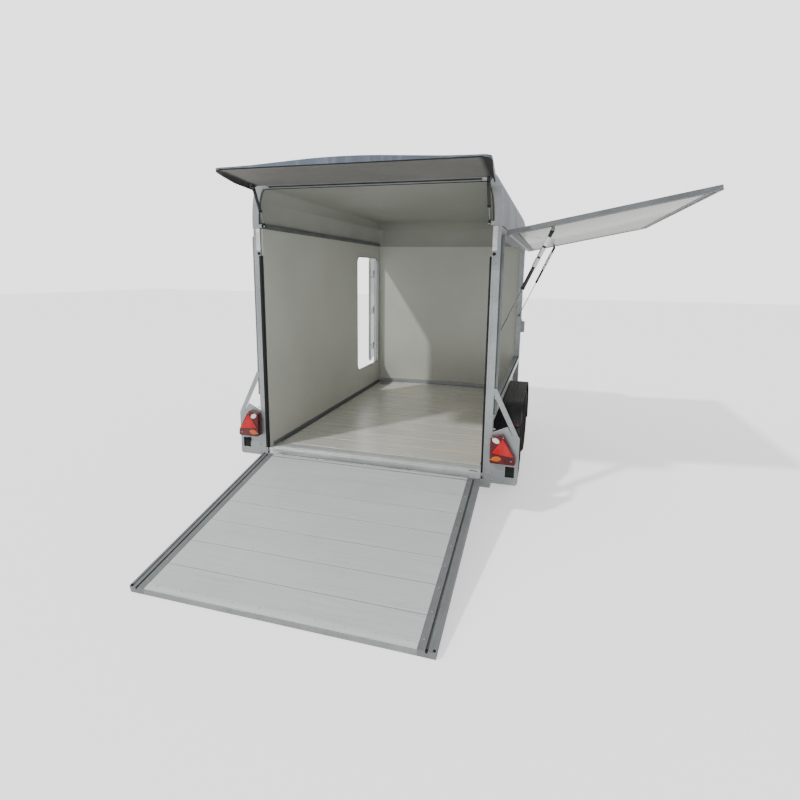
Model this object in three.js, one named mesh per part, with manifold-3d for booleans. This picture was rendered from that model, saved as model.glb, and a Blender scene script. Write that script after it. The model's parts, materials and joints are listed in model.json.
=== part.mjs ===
// Enclosed tandem trailer with a rear ramp, a rear canopy flap, a full-length side flap and a side door.
// Millimetres. X is the trailer's right, Y its forward direction, Z up, the ground is Z = 0.
// While it is built, Y = 0 is the rear face of the rear posts and X = 0 the centre line.
import * as THREE from "three";
import { mergeVertices } from "three/addons/utils/BufferGeometryUtils.js";
import Module from "manifold-3d";

const wasm = await Module();
wasm.setup();

// ---- driving dimensions ----
const gap = 0.5; // between fixed pieces that touch
const clear = 5; // between a moving piece and its neighbours

const loadWidth = 1530;
const loadLength = 2460; // rear post face to the front wall at its corners
const frontBow = 60; // how far the front wall bows forward at its middle
const floorAboveAxle = 20;
const floorThickness = 28;
const eavesHeight = 1540; // floor to the underside of the roof
const roofRise = 260; // eaves to the ceiling
const ceilingThickness = 30;
const roofSideThickness = 45;
const roofCorner = { across: 60, down: 260 }; // the round of the roof's upper edges
const wallThickness = 12;
const wallDrop = 25; // how far the walls reach below the floor top
const postWidth = 50;
const postDepth = 50;
const plinthDrop = 95; // floor to the lower end of the posts and the rear beam

const sillAboveMudguard = 17; // room under the top rail of the low right wall
const sillRailHeight = 38;
const eavesRailHeight = 50;

const doorBottom = 250; // side door opening above the floor
const doorHeight = 1160;
const doorWidth = 640;
const doorFrontMargin = 55; // wall left in front of the opening
const doorOverlap = 20;
const doorThickness = 25;
const doorCorner = 60;
const doorOpenAngle = 165;

const beamHeight = 59;
const sideMemberWidth = 60;
const crossBeamDepth = 60;

const tyreRadius = 290;
const tyreWidth = 170;
const rimRadius = 168;
const tyreGap = 23; // side wall to the tyres
const tyreSpacing = 120; // from one tyre to the next on a side
const rearAxleY = 700;
const axleBeamSize = 80;
const armTrail = 140;
const armThickness = 12;
const stubRadius = 24;
const wheelSegments = 24; // a multiple of four, so a corner of the tyre meets the ground

const mudguardWall = 5;
const mudguardReach = 50; // radial room between tyre and mudguard
const mudguardOverhang = 5;

const rampHingeBehind = 34;
const rampHingeDrop = 34; // floor to the hinge axis
const rampLength = 1310;
const rampSideGap = 3; // inside the walls' outer faces
const rampRailWidth = 80;
const rampUnder = 11; // deck underside below the hinge axis
const rampDeckTop = 22;
const rampRailTop = 24;
const rampLipTop = rampHingeBehind - clear; // the lip clears the posts when the ramp is shut
const rampTubeRadius = 14;

const canopyHingeBehind = 38;
const canopyHingeDrop = 22; // roof top to the hinge axis
const canopyHingeInset = 85; // how far the hinge pin stops short of the flap's corners
const canopyLength = 400;
const canopyFlare = 20; // how much wider each side is at the free edge
const canopyOpenAngle = 4.5; // above level
const canopyInner = 4; // inner face from the hinge axis
const canopyEdge = 8; // outer face from the hinge axis at the sides
const canopyBulge = 28;
const canopyRim = 10;
const canopyFillet = 26;
const canopyCorner = 45;
const hingeSetback = 8; // where a flap starts, from its hinge axis

const flapHingeOutside = 19; // post face to the hinge axis
const flapHingeDrop = 38; // eaves to the hinge axis
const flapLap = 19; // how far the shut flap reaches below the top of the right wall
const flapOpenAngle = 11.4; // above level
const flapInner = 16; // inner face from the hinge axis
const flapOuter = 12;
const flapFrame = 60;
const flapRecess = 8;
const flapRear = 40;

const sideStrut = { pinFromHinge: 270, pinInside: 34, footInset: 27, footBelowHinge: 682, radius: 11 };
const canopyStrut = { pinFromHinge: 62, pinInside: 22, footY: 20, footAboveEaves: 15, inset: 33, radius: 10 };
const strutRodRadius = 4;
const strutBore = 5.5;
const strutEndWall = 10;
const strutHeadroom = 27; // tube mouth to eye centre when fully pushed in

const couplingHeight = 430;
const drawbarReach = 970; // ahead of the load space
const drawbarFootX = 520;
const drawbarTipX = 58;
const drawbarWidth = 40;
const drawbarHeight = 70;
const drawbarFootDrop = 82; // floor to the middle of the rails at their feet
const drawbarTipDrop = 30; // coupling to the middle of the rails at their tips
const housingHalf = 32;
const housingLength = 220;
const bellowsLength = 60;
const couplingLength = 190;

const jockey = { behindTip: 30, wheelRadius: 88, wheelWidth: 50, trail: 40, travel: 150 };
const clampHalfLength = 32;
const jockeyTubeRadius = 24;
const jockeyInnerRadius = 20;

// ---- worked out from them ----
const innerX = loadWidth / 2;
const wallX = innerX + wallThickness;
const postX = wallX + postWidth;
const floorTop = tyreRadius + floorAboveAxle;
const eavesZ = floorTop + eavesHeight;
const ceilingZ = eavesZ + roofRise;
const roofTopZ = ceilingZ + ceilingThickness;
const roofX = postX + clear;
const mudguardTopZ = 2 * tyreRadius + mudguardReach + mudguardWall;
const sillTopZ = mudguardTopZ + sillAboveMudguard + sillRailHeight;
const plinthBottom = floorTop - plinthDrop;
const wallBottomZ = floorTop - wallDrop;
const beamTopZ = floorTop - floorThickness - gap;
const beamBottomZ = beamTopZ - beamHeight;
const wallFrontY = loadLength - clear;
const frontPostY = loadLength - 20;
const frontRadius = (innerX ** 2 + frontBow ** 2) / (2 * frontBow);
const frontCentreY = loadLength + frontBow - frontRadius;
const wheelX = wallX + tyreGap + tyreWidth / 2;
const axleSpacing = 2 * tyreRadius + tyreSpacing;
const drawbarTipY = loadLength + drawbarReach;
const drawbarFootZ = floorTop - drawbarFootDrop;
const drawbarTipZ = couplingHeight - drawbarTipDrop;
const drawbarRun = drawbarTipY - wallFrontY - gap;
const drawbarSpread = (drawbarFootX - drawbarTipX) / drawbarRun;
const railHalf = (drawbarWidth / 2) * Math.hypot(1, drawbarSpread);
const railOuterX = (y) => drawbarTipX + drawbarSpread * (drawbarTipY - y) + railHalf;
const jockeyY = drawbarTipY - jockey.behindTip;
const clampInnerX = railOuterX(jockeyY - clampHalfLength) + gap;
const jockeyX = clampInnerX + 10 + jockeyTubeRadius;
const degrees = THREE.MathUtils.degToRad;
const rampHinge = { y: -rampHingeBehind, z: floorTop - rampHingeDrop };
const rampHalfWidth = wallX - rampSideGap;
const rampReach = Math.hypot(rampLength, rampUnder); // hinge axis to the edge that meets the ground
const rampAngle = Math.asin(rampHinge.z / rampReach) - Math.atan(rampUnder / rampLength);
const roofInnerX = roofX - roofSideThickness;
const hoopInnerX = roofInnerX - 2;
const canopyHinge = { y: -canopyHingeBehind, z: roofTopZ - canopyHingeDrop };
const canopyHingeHalf = hoopInnerX; // half width at the hinge
const canopyTipHalf = canopyHingeHalf + canopyFlare;
const canopyStrutX = hoopInnerX - canopyStrut.inset;
const canopyStrutFootZ = eavesZ + canopyStrut.footAboveEaves;
const flapHinge = { x: postX + flapHingeOutside, z: eavesZ - flapHingeDrop };
const flapLength = flapHinge.z - sillTopZ + flapLap;
const flapFront = frontPostY + postDepth;
const sideStrutFoot = { x: postX - sideStrut.footInset, z: flapHinge.z - sideStrut.footBelowHinge };

// ---- colours and finishes ----
function finish(colour, roughness, metalness) {
  return new THREE.MeshStandardMaterial({ color: colour, roughness, metalness, flatShading: true });
}
const galvanised = () => finish(0x9ea3a6, 0.5, 0.8);
const plankMetal = () => finish(0xbfc2bf, 0.42, 0.75);
const laminate = () => finish(0xd6d6c9, 0.28, 0);
const gelcoat = () => finish(0x6f7780, 0.25, 0);
const blackPlastic = () => finish(0x17181a, 0.55, 0);
const blackRubber = () => finish(0x121212, 0.85, 0);
const lampRed = () => finish(0xc4101c, 0.15, 0);
const rimMetal = () => finish(0xb4b7ba, 0.4, 0.7);

// ---- shape helpers ----
function signedVolume(geometry) {
  const position = geometry.getAttribute("position");
  const [a, b, c] = [new THREE.Vector3(), new THREE.Vector3(), new THREE.Vector3()];
  let sum = 0;
  for (let i = 0; i < geometry.index.count; i += 3) {
    a.fromBufferAttribute(position, geometry.index.getX(i));
    b.fromBufferAttribute(position, geometry.index.getX(i + 1));
    c.fromBufferAttribute(position, geometry.index.getX(i + 2));
    sum += a.dot(b.cross(c));
  }
  return sum / 6;
}

// A closed geometry as a manifold solid with its faces pointing out.
function solidOf(geometry) {
  const bare = geometry.clone();
  for (const name of Object.keys(bare.attributes)) {
    if (name !== "position") bare.deleteAttribute(name);
  }
  const merged = mergeVertices(bare, 1e-3);
  const triVerts = new Uint32Array(merged.index.array);
  if (signedVolume(merged) < 0) triVerts.reverse();
  const vertProperties = merged.getAttribute("position").array;
  return new wasm.Manifold(new wasm.Mesh({ numProp: 3, vertProperties, triVerts }));
}

function geometryOf(solid) {
  const mesh = solid.getMesh();
  const geometry = new THREE.BufferGeometry();
  geometry.setAttribute("position", new THREE.BufferAttribute(new Float32Array(mesh.vertProperties), 3));
  geometry.setIndex(new THREE.BufferAttribute(new Uint32Array(mesh.triVerts), 1));
  return geometry;
}

const join = (first, ...rest) =>
  geometryOf(rest.reduce((made, next) => made.add(solidOf(next)), solidOf(first)));
const cut = (first, ...rest) =>
  geometryOf(rest.reduce((made, next) => made.subtract(solidOf(next)), solidOf(first)));
const common = (first, ...rest) =>
  geometryOf(rest.reduce((made, next) => made.intersect(solidOf(next)), solidOf(first)));

function box(x, y, z) {
  const geometry = new THREE.BoxGeometry(x[1] - x[0], y[1] - y[0], z[1] - z[0]);
  return geometry.translate((x[0] + x[1]) / 2, (y[0] + y[1]) / 2, (z[0] + z[1]) / 2);
}

// The same box on the other side when side is -1.
const boxAt = (side, x, y, z) => box(side > 0 ? x : [-x[1], -x[0]], y, z);

const outline = (points) => new THREE.Shape(points.map(([a, b]) => new THREE.Vector2(a, b)));

// An outline swept along an axis. The outline's own two directions are Y and Z along X,
// X and Z along Y, and X and Y along Z.
function sweep(axis, shape, from, to, curveSegments = 8) {
  const geometry = new THREE.ExtrudeGeometry(shape, { depth: to - from, bevelEnabled: false, curveSegments });
  const [x, y, z] = [new THREE.Vector3(1, 0, 0), new THREE.Vector3(0, 1, 0), new THREE.Vector3(0, 0, 1)];
  const turn = new THREE.Matrix4();
  if (axis === "x") turn.makeBasis(y, z, x).setPosition(from, 0, 0);
  if (axis === "y") turn.makeBasis(x, z, y.clone().negate()).setPosition(0, to, 0);
  if (axis === "z") turn.makeBasis(x, y, z).setPosition(0, 0, from);
  return geometry.applyMatrix4(turn);
}

// A round bar between two points given as [x, y, z].
function bar(from, to, radius, sides = 12) {
  const start = new THREE.Vector3(...from);
  const along = new THREE.Vector3(...to).sub(start);
  const geometry = new THREE.CylinderGeometry(radius, radius, along.length(), sides);
  geometry.translate(0, along.length() / 2, 0);
  const turn = new THREE.Quaternion().setFromUnitVectors(new THREE.Vector3(0, 1, 0), along.normalize());
  return geometry.applyQuaternion(turn).translate(...from);
}

// A rectangle with round corners in an outline's own two directions.
function roundedRectangle(a0, a1, b0, b1, radius) {
  const shape = new THREE.Shape();
  shape.moveTo(a0 + radius, b0);
  shape.lineTo(a1 - radius, b0);
  shape.absarc(a1 - radius, b0 + radius, radius, -Math.PI / 2, 0);
  shape.absarc(a1 - radius, b1 - radius, radius, 0, Math.PI / 2);
  shape.absarc(a0 + radius, b1 - radius, radius, Math.PI / 2, Math.PI);
  shape.absarc(a0 + radius, b0 + radius, radius, Math.PI, Math.PI * 1.5);
  return shape;
}

// Points on the bowed front line, offset forward, from the left to the right.
function frontLine(halfWidth, offset, steps = 12) {
  const radius = frontRadius + offset;
  const points = [];
  for (let i = 0; i <= steps; i++) {
    const x = -halfWidth + (2 * halfWidth * i) / steps;
    points.push([x, frontCentreY + Math.sqrt(radius ** 2 - x ** 2)]);
  }
  return points;
}

const trailer = new THREE.Group();
const struts = {}; // each strut's tube pin and rod pin, open, and its tube pin when shut

function add(name, geometry, material, parent = trailer) {
  const mesh = new THREE.Mesh(geometry, material);
  mesh.name = name;
  parent.add(mesh);
  return mesh;
}

const sides = [
  ["left", -1],
  ["right", 1],
];

// ---- chassis ----
function buildChassis() {
  for (const [word, side] of sides) {
    const x = [innerX - sideMemberWidth, innerX - gap];
    const member = boxAt(side, x, [crossBeamDepth + gap, wallFrontY - crossBeamDepth - gap], [beamBottomZ, beamTopZ]);
    add("side_member_" + word, member, galvanised());
  }
  const between = innerX - sideMemberWidth - gap;
  const middleY = rearAxleY + axleSpacing / 2 + armTrail / 2;
  const middle = box([-between, between], [middleY - 30, middleY + 30], [beamBottomZ, beamTopZ]);
  add("middle_beam", middle, galvanised());
  const front = [wallFrontY - crossBeamDepth, wallFrontY];
  add("front_beam", box([-innerX + gap, innerX - gap], front, [beamBottomZ, beamTopZ]), galvanised());
}

const rampKnuckles = 5;
const knuckleLength = 60;

// X ranges of the fixed hinge knuckles under the rear edge.
function fixedKnuckles() {
  const reach = rampHalfWidth - rampRailWidth - knuckleLength / 2;
  return Array.from({ length: rampKnuckles }, (_, i) => {
    const middle = -reach + (2 * reach * i) / (rampKnuckles - 1);
    return [middle - knuckleLength / 2, middle + knuckleLength / 2];
  });
}

function buildRearBeam() {
  const beam = box([-wallX + gap, wallX - gap], [0, crossBeamDepth], [plinthBottom, thresholdBottom - gap]);
  const lugs = fixedKnuckles().flatMap((x) => [
    bar([x[0], rampHinge.y, rampHinge.z], [x[1], rampHinge.y, rampHinge.z], rampTubeRadius),
    box(x, [rampHinge.y, 5], [rampHinge.z - rampTubeRadius, rampHinge.z - 10]),
  ]);
  add("rear_beam", join(beam, ...lugs), galvanised());
}

const thresholdBottom = floorTop - 42;
const thresholdDepth = 140;

function buildFloor() {
  const halfWidth = innerX - gap;
  const line = frontLine(halfWidth, -gap);
  const plan = outline([...line, [halfWidth, thresholdDepth + gap], [-halfWidth, thresholdDepth + gap]]);
  add("floor", sweep("z", plan, floorTop - floorThickness, floorTop), plankMetal());
  const section = outline([
    [0, thresholdBottom],
    [crossBeamDepth, thresholdBottom],
    [crossBeamDepth, beamTopZ + gap],
    [thresholdDepth, beamTopZ + gap],
    [thresholdDepth, floorTop],
    [0, floorTop],
  ]);
  add("threshold", sweep("x", section, -halfWidth, halfWidth), plankMetal());
}

// ---- drawbar, overrun device and jockey wheel ----
function drawbarRail(side) {
  const footY = wallFrontY + gap;
  const foot = new THREE.Vector3(side * drawbarFootX, footY, drawbarFootZ);
  const tip = new THREE.Vector3(side * drawbarTipX, drawbarTipY, drawbarTipZ);
  const along = tip.clone().sub(foot);
  const rail = new THREE.BoxGeometry(drawbarWidth, drawbarHeight, along.length() * 1.2);
  const turn = new THREE.Matrix4().lookAt(tip, foot, new THREE.Vector3(0, 0, 1));
  rail.applyMatrix4(turn).translate(...foot.clone().add(tip).multiplyScalar(0.5).toArray());
  const wide = drawbarFootX * 2;
  const behind = box([-wide, wide], [footY - 1000, footY], [-500, 1000]);
  const ahead = box([-wide, wide], [drawbarTipY, drawbarTipY + 1000], [-500, 1000]);
  return cut(rail, behind, ahead);
}

const housingY = [drawbarTipY - 90, drawbarTipY - 90 + housingLength];

function buildDrawbar() {
  for (const [word, side] of sides) add("drawbar_" + word, drawbarRail(side), galvanised());
  const body = box([-housingHalf, housingHalf], housingY, [couplingHeight - 35, couplingHeight + 35]);
  const flangeX = drawbarTipX + drawbarWidth;
  const flangeZ = drawbarTipZ + drawbarHeight / 2 + 8;
  const flange = box([-flangeX, flangeX], [drawbarTipY - 70, drawbarTipY], [flangeZ, flangeZ + 8]);
  const mouth = bar([0, housingY[1] - 10, couplingHeight], [0, housingY[1] + 25, couplingHeight], 30, 16);
  add("overrun_housing", join(body, flange, mouth), galvanised());
  buildBellows(housingY[1] + 25 + gap);
  buildCoupling(housingY[1] + 25 + bellowsLength + 2 * gap);
  buildHandbrake();
}

function buildBellows(startY) {
  const folds = 4;
  const points = [[0, 0]];
  for (let i = 0; i <= folds; i++) {
    points.push([30, (bellowsLength * i) / folds]);
    if (i < folds) points.push([38, (bellowsLength * (i + 0.5)) / folds]);
  }
  points.push([0, bellowsLength]);
  const profile = points.map(([r, y]) => new THREE.Vector2(r, y));
  const geometry = new THREE.LatheGeometry(profile, 16).translate(0, startY, couplingHeight);
  add("bellows", geometryOf(solidOf(geometry)), blackRubber());
}

function buildCoupling(startY) {
  const ballY = startY + couplingLength - 40;
  const neck = bar([0, startY, couplingHeight], [0, startY + 80, couplingHeight], 30, 16);
  const body = box([-24, 24], [startY + 60, ballY], [couplingHeight - 12, couplingHeight + 34]);
  const dome = new THREE.SphereGeometry(40, 12, 8).translate(0, ballY, couplingHeight);
  const cup = new THREE.SphereGeometry(26, 12, 8).translate(0, ballY, couplingHeight - 14);
  const under = box([-60, 60], [ballY - 60, ballY + 60], [couplingHeight - 80, couplingHeight - 22]);
  const handleOutline = outline([
    [startY + 70, couplingHeight + 30],
    [ballY + 5, couplingHeight + 30],
    [ballY - 30, couplingHeight + 62],
    [startY + 20, couplingHeight + 86],
    [startY + 10, couplingHeight + 74],
    [startY + 70, couplingHeight + 50],
  ]);
  const handle = sweep("x", handleOutline, -14, 14);
  add("coupling_head", cut(join(neck, body, dome, handle), cup, under), galvanised());
}

function buildHandbrake() {
  const x = housingHalf + 10;
  const pivot = [x, drawbarTipY + 26, couplingHeight + 10];
  const bend = [x, housingY[0] + 30, couplingHeight + 120];
  const end = [x, housingY[0] - 150, couplingHeight + 215];
  const hub = bar([housingHalf + gap, pivot[1], pivot[2]], [x + 8, pivot[1], pivot[2]], 22, 16);
  const grip = bar([x, housingY[0] - 40, couplingHeight + 157], end, 14);
  add("handbrake_lever", join(hub, bar(pivot, bend, 8), bar(bend, end, 8), grip), blackPlastic());
}

const jockeyCrownZ = 2 * jockey.wheelRadius + 8;
const jockeyCrownTop = jockeyCrownZ + 10;
const jockeyTubeBottom = jockeyCrownTop + jockey.travel + clear;

function buildJockey() {
  const x = jockeyX;
  const y = jockeyY;
  const top = jockeyTubeBottom + 430;
  const profile = [
    [jockeyInnerRadius + 1, 0],
    [jockeyTubeRadius, 0],
    [jockeyTubeRadius, top - jockeyTubeBottom],
    [0, top - jockeyTubeBottom],
    [0, top - jockeyTubeBottom - 12],
    [jockeyInnerRadius + 1, top - jockeyTubeBottom - 12],
    [jockeyInnerRadius + 1, 0],
  ].map(([r, z]) => new THREE.Vector2(r, z));
  const tube = new THREE.LatheGeometry(profile, 16).rotateX(Math.PI / 2).translate(x, y, jockeyTubeBottom);
  const clampX = [clampInnerX, x + jockeyTubeRadius + 8];
  const clampZ = [jockeyTubeBottom + 14, jockeyTubeBottom + 58];
  const clampHole = bar([x, y, 0], [x, y, 1000], jockeyInnerRadius + 2, 16);
  const clamp = cut(box(clampX, [y - clampHalfLength, y + clampHalfLength], clampZ), clampHole);
  const crank = join(
    bar([x, y, top - 5], [x, y, top + 22], 9),
    box([x - 8, x + 120], [y - 8, y + 8], [top + 16, top + 24]),
    bar([x + 110, y, top + 20], [x + 110, y, top + 80], 11),
  );
  add("jockey_tube", join(tube, clamp, crank), galvanised());
  const innerTop = top - jockey.travel - 12 - 8;
  add("jockey_leg", bar([x, y, jockeyCrownTop + gap], [x, y, innerTop], jockeyInnerRadius, 16), galvanised());
  const half = jockey.wheelWidth / 2 + 4;
  const axleY = y - jockey.trail;
  const cheek = outline([
    [axleY - 20, jockey.wheelRadius - 20],
    [axleY + 20, jockey.wheelRadius - 20],
    [y + 26, jockeyCrownTop],
    [y - 26, jockeyCrownTop],
  ]);
  const fork = join(
    box([x - half - 5, x + half + 5], [y - 26, y + 26], [jockeyCrownZ, jockeyCrownTop]),
    sweep("x", cheek, x - half - 5, x - half),
    sweep("x", cheek, x + half, x + half + 5),
    bar([x - half - 3, axleY, jockey.wheelRadius], [x + half + 3, axleY, jockey.wheelRadius], 7),
  );
  add("jockey_fork", fork, galvanised());
  const r = jockey.wheelRadius;
  const w = jockey.wheelWidth / 2;
  const wheel = [
    [9, -w],
    [28, -w],
    [r - 30, -w + 10],
    [r - 14, -w],
    [r, -w + 12],
    [r, w - 12],
    [r - 14, w],
    [r - 30, w - 10],
    [28, w],
    [9, w],
    [9, -w],
  ].map(([radius, z]) => new THREE.Vector2(radius, z));
  const round = new THREE.LatheGeometry(wheel, 20).rotateZ(Math.PI / 2).translate(x, axleY, r);
  add("jockey_wheel", geometryOf(solidOf(round)), blackRubber());
}

// ---- axles and wheels ----
function buildAxle(word, wheelY) {
  const beamY = wheelY + armTrail;
  const beamZ = beamBottomZ - gap - axleBeamSize / 2;
  const reach = wallX + clear + armThickness;
  const half = axleBeamSize / 2;
  const pieces = [box([-reach + 4, reach - 4], [beamY - half, beamY + half], [beamZ - half, beamZ + half])];
  for (const [, side] of sides) {
    const arm = outline([
      [wheelY - 38, tyreRadius - 12],
      [wheelY - 22, tyreRadius + 34],
      [wheelY + 24, tyreRadius + 34],
      [beamY + 42, beamZ + 34],
      [beamY + 42, beamZ - 34],
      [beamY - 30, beamZ - 40],
      [wheelY - 26, tyreRadius - 34],
    ]);
    const inner = wallX + clear;
    const x = side > 0 ? [inner, inner + armThickness] : [-inner - armThickness, -inner];
    pieces.push(sweep("x", arm, x[0], x[1]));
    const stub = [side * (inner + 4), side * (wheelX - 6)];
    pieces.push(bar([stub[0], wheelY, tyreRadius], [stub[1], wheelY, tyreRadius], stubRadius, 16));
  }
  add("axle_" + word, join(...pieces), galvanised());
}

// A profile of [radius, across] points turned about the X axis at a wheel's place.
function turned(points, segments, side, wheelY) {
  const profile = points.map(([r, across]) => new THREE.Vector2(r, across));
  const geometry = new THREE.LatheGeometry(profile, segments).rotateZ(-Math.PI / 2 * side);
  return geometryOf(solidOf(geometry.translate(side * wheelX, wheelY, tyreRadius)));
}

function buildWheel(word, side, wheelY) {
  const half = tyreWidth / 2;
  const bore = rimRadius + gap;
  const tyre = [
    [bore, -half + 18],
    [bore + 40, -half],
    [tyreRadius - 30, -half + 3],
    [tyreRadius, -half + 26],
    [tyreRadius, half - 26],
    [tyreRadius - 30, half - 3],
    [bore + 40, half],
    [bore, half - 18],
    [bore, -half + 18],
  ];
  add("tyre_" + word, turned(tyre, wheelSegments, side, wheelY), blackRubber());
  const barrel = half - 18;
  const rim = [
    [stubRadius + clear, 4],
    [70, 4],
    [86, 24],
    [150, 14],
    [150, -barrel],
    [rimRadius, -barrel],
    [rimRadius, barrel],
    [154, barrel],
    [144, 22],
    [88, 34],
    [stubRadius + clear, 42],
    [stubRadius + clear, 4],
  ];
  add("rim_" + word, turned(rim, wheelSegments, side, wheelY), rimMetal());
}

function buildRunningGear() {
  for (const [place, y] of [["rear", rearAxleY], ["front", rearAxleY + axleSpacing]]) {
    buildAxle(place, y);
    for (const [word, side] of sides) buildWheel(place + "_" + word, side, y);
  }
}

// A band over both wheels: round ends about the axles and a level top between them.
function mudguardOutline(radius, endDrop) {
  const [rearY, frontY] = [rearAxleY, rearAxleY + axleSpacing];
  const shape = new THREE.Shape();
  shape.moveTo(rearY - radius, tyreRadius - endDrop);
  shape.absarc(rearY, tyreRadius, radius, Math.PI, Math.PI / 2, true);
  shape.absarc(frontY, tyreRadius, radius, Math.PI / 2, 0, true);
  shape.lineTo(frontY + radius, tyreRadius - endDrop);
  return shape;
}

function buildMudguards() {
  const inner = tyreRadius + mudguardReach;
  const x = [wallX + gap, wheelX + tyreWidth / 2 + mudguardOverhang];
  for (const [word, side] of sides) {
    const range = side > 0 ? x : [-x[1], -x[0]];
    const outer = sweep("x", mudguardOutline(inner + mudguardWall, 60), range[0], range[1], 10);
    const hollow = sweep("x", mudguardOutline(inner, 80), -2000, 2000, 10);
    add("mudguard_" + word, cut(outer, hollow), blackPlastic());
  }
}

// ---- body ----
const doorY = [wallFrontY - doorFrontMargin - doorWidth, wallFrontY - doorFrontMargin];
const doorZ = [floorTop + doorBottom, floorTop + doorBottom + doorHeight];
const wallRear = 12; // the walls start this far in front of the rear face
const lugSize = 12;

function buildWalls() {
  const panel = sweep(
    "x",
    outline([
      [wallRear, wallBottomZ],
      [wallFrontY, wallBottomZ],
      [wallFrontY, eavesZ - gap],
      [wallRear, eavesZ - gap],
    ]),
    -wallX,
    -innerX,
  );
  const opening = sweep("x", roundedRectangle(...doorY, ...doorZ, doorCorner), -wallX - 50, -innerX + 50);
  add("wall_left", cut(panel, opening), laminate());

  const sill = outline([
    [innerX, wallBottomZ],
    [wallX, wallBottomZ],
    [wallX, sillTopZ - sillRailHeight],
    [postX, sillTopZ - sillRailHeight],
    [postX, sillTopZ],
    [innerX, sillTopZ],
  ]);
  const railRoom = box([wallX, 2000], [-100, postDepth + gap], [0, 3000]);
  const frontRoom = box([wallX, 2000], [frontPostY - gap, 4000], [0, 3000]);
  add("side_sill_right", cut(sweep("y", sill, wallRear, wallFrontY), railRoom, frontRoom), laminate());

  const halfWidth = wallX - gap;
  const inside = frontLine(halfWidth, 0);
  const outside = frontLine(halfWidth, wallThickness + 2).reverse();
  const plan = outline([...inside, ...outside]);
  add("wall_front", sweep("z", plan, wallBottomZ, eavesZ - gap), laminate());
}

const rearPost = (side) => boxAt(side, [wallX + gap, postX], [0, postDepth], [plinthBottom, eavesZ - gap]);

function sideStrutLug(y) {
  const { x, z } = sideStrutFoot;
  return box([x - lugSize, x + lugSize], y, [z - lugSize, z + lugSize]);
}

const doorAxis = { x: -postX - 7, y: frontPostY - 8 };
const doorHingeZ = [0.15, 0.5, 0.85].map((share) => doorZ[0] + share * doorHeight);
const doorKnuckle = 40;

function buildPosts() {
  add("rear_post_left", rearPost(-1), galvanised());
  const rearLug = sideStrutLug([postDepth - 2, sideStrutY[0] - sideStrut.radius - 2]);
  add("rear_post_right", join(rearPost(1), rearLug), galvanised());

  const y = [frontPostY, frontPostY + postDepth];
  const z = [plinthBottom, eavesZ - gap];
  const leftPost = box([-postX, -wallX - gap], y, z);
  const lugs = doorHingeZ.flatMap((middle) => [
    bar([doorAxis.x, doorAxis.y, middle], [doorAxis.x, doorAxis.y, middle + doorKnuckle], 6),
    box([doorAxis.x, -postX + 2], [doorAxis.y, y[0] + 12], [middle, middle + doorKnuckle]),
  ]);
  add("front_post_left", join(leftPost, ...lugs), galvanised());
  const rightPost = box([wallX + gap, postX], y, z);
  const frontLug = sideStrutLug([sideStrutY[1] + sideStrut.radius + 2, y[0] + 2]);
  add("front_post_right", join(rightPost, frontLug), galvanised());
}

function buildEavesRails() {
  const y = [postDepth + gap, frontPostY - gap];
  const z = [eavesZ - eavesRailHeight, eavesZ - gap];
  add("eaves_rail_left", box([-postX, -wallX - gap], y, z), galvanised());
  const rail = box([wallX + gap, postX], y, z);
  const pin = bar([flapHinge.x, flapRear, flapHinge.z], [flapHinge.x, flapFront, flapHinge.z], 5, 8);
  const web = box([postX - 2, flapHinge.x], y, [flapHinge.z - 3, flapHinge.z + 3]);
  add("eaves_rail_right", join(rail, pin, web), galvanised());
}

// The roof's cross-section: upright sides that round into a level top.
function roofSection(halfWidth, top, corner, bottom) {
  const { across, down } = corner;
  const shape = new THREE.Shape();
  shape.moveTo(-halfWidth, bottom);
  shape.lineTo(halfWidth, bottom);
  shape.lineTo(halfWidth, top - down);
  shape.absellipse(halfWidth - across, top - down, across, down, 0, Math.PI / 2, false, 0);
  shape.absellipse(-halfWidth + across, top - down, across, down, Math.PI / 2, Math.PI, false, 0);
  return shape;
}

// The roof in side view: level, then rounded down to the front wall.
function roofProfile(rear, front, top, bottom, roundLength, roundDrop) {
  const shape = new THREE.Shape();
  shape.moveTo(rear, bottom);
  shape.lineTo(rear, top);
  shape.lineTo(front - roundLength, top - 8);
  shape.quadraticCurveTo(front - 0.18 * roundLength, top - 0.1 * roundDrop, front, top - roundDrop);
  shape.lineTo(front, bottom);
  return shape;
}

const roofRear = 12.5;
const roofFront = wallThickness + 26; // ahead of the front wall's inner face
const roofInnerCorner = { across: roofCorner.across - 10, down: roofCorner.down - 20 };
const hoopInnerTop = ceilingZ - 6;
const beyond = 20; // how far a cutting shape runs past what it cuts

function buildRoof() {
  const middle = loadLength + frontBow;
  const front = middle + roofFront;
  const half = roofX + beyond;
  const outerPlan = outline([...frontLine(half, roofFront), [half, 0], [-half, 0]]);
  const outer = common(
    sweep("y", roofSection(roofX, roofTopZ, roofCorner, eavesZ), roofRear, front),
    sweep("x", roofProfile(0, front, roofTopZ, eavesZ - beyond, 260, 200), -half, half),
    sweep("z", outerPlan, eavesZ - beyond, roofTopZ + beyond),
  );
  const innerPlan = outline([...frontLine(half, 0), [half, -2 * beyond], [-half, -2 * beyond]]);
  const inner = common(
    sweep("y", roofSection(roofInnerX, ceilingZ, roofInnerCorner, eavesZ - beyond), -beyond, middle),
    sweep("x", roofProfile(-beyond, middle, ceilingZ, eavesZ - beyond, 240, 190), -half, half),
    sweep("z", innerPlan, eavesZ - beyond, roofTopZ),
  );
  add("roof", cut(outer, inner), gelcoat());
}

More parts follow.
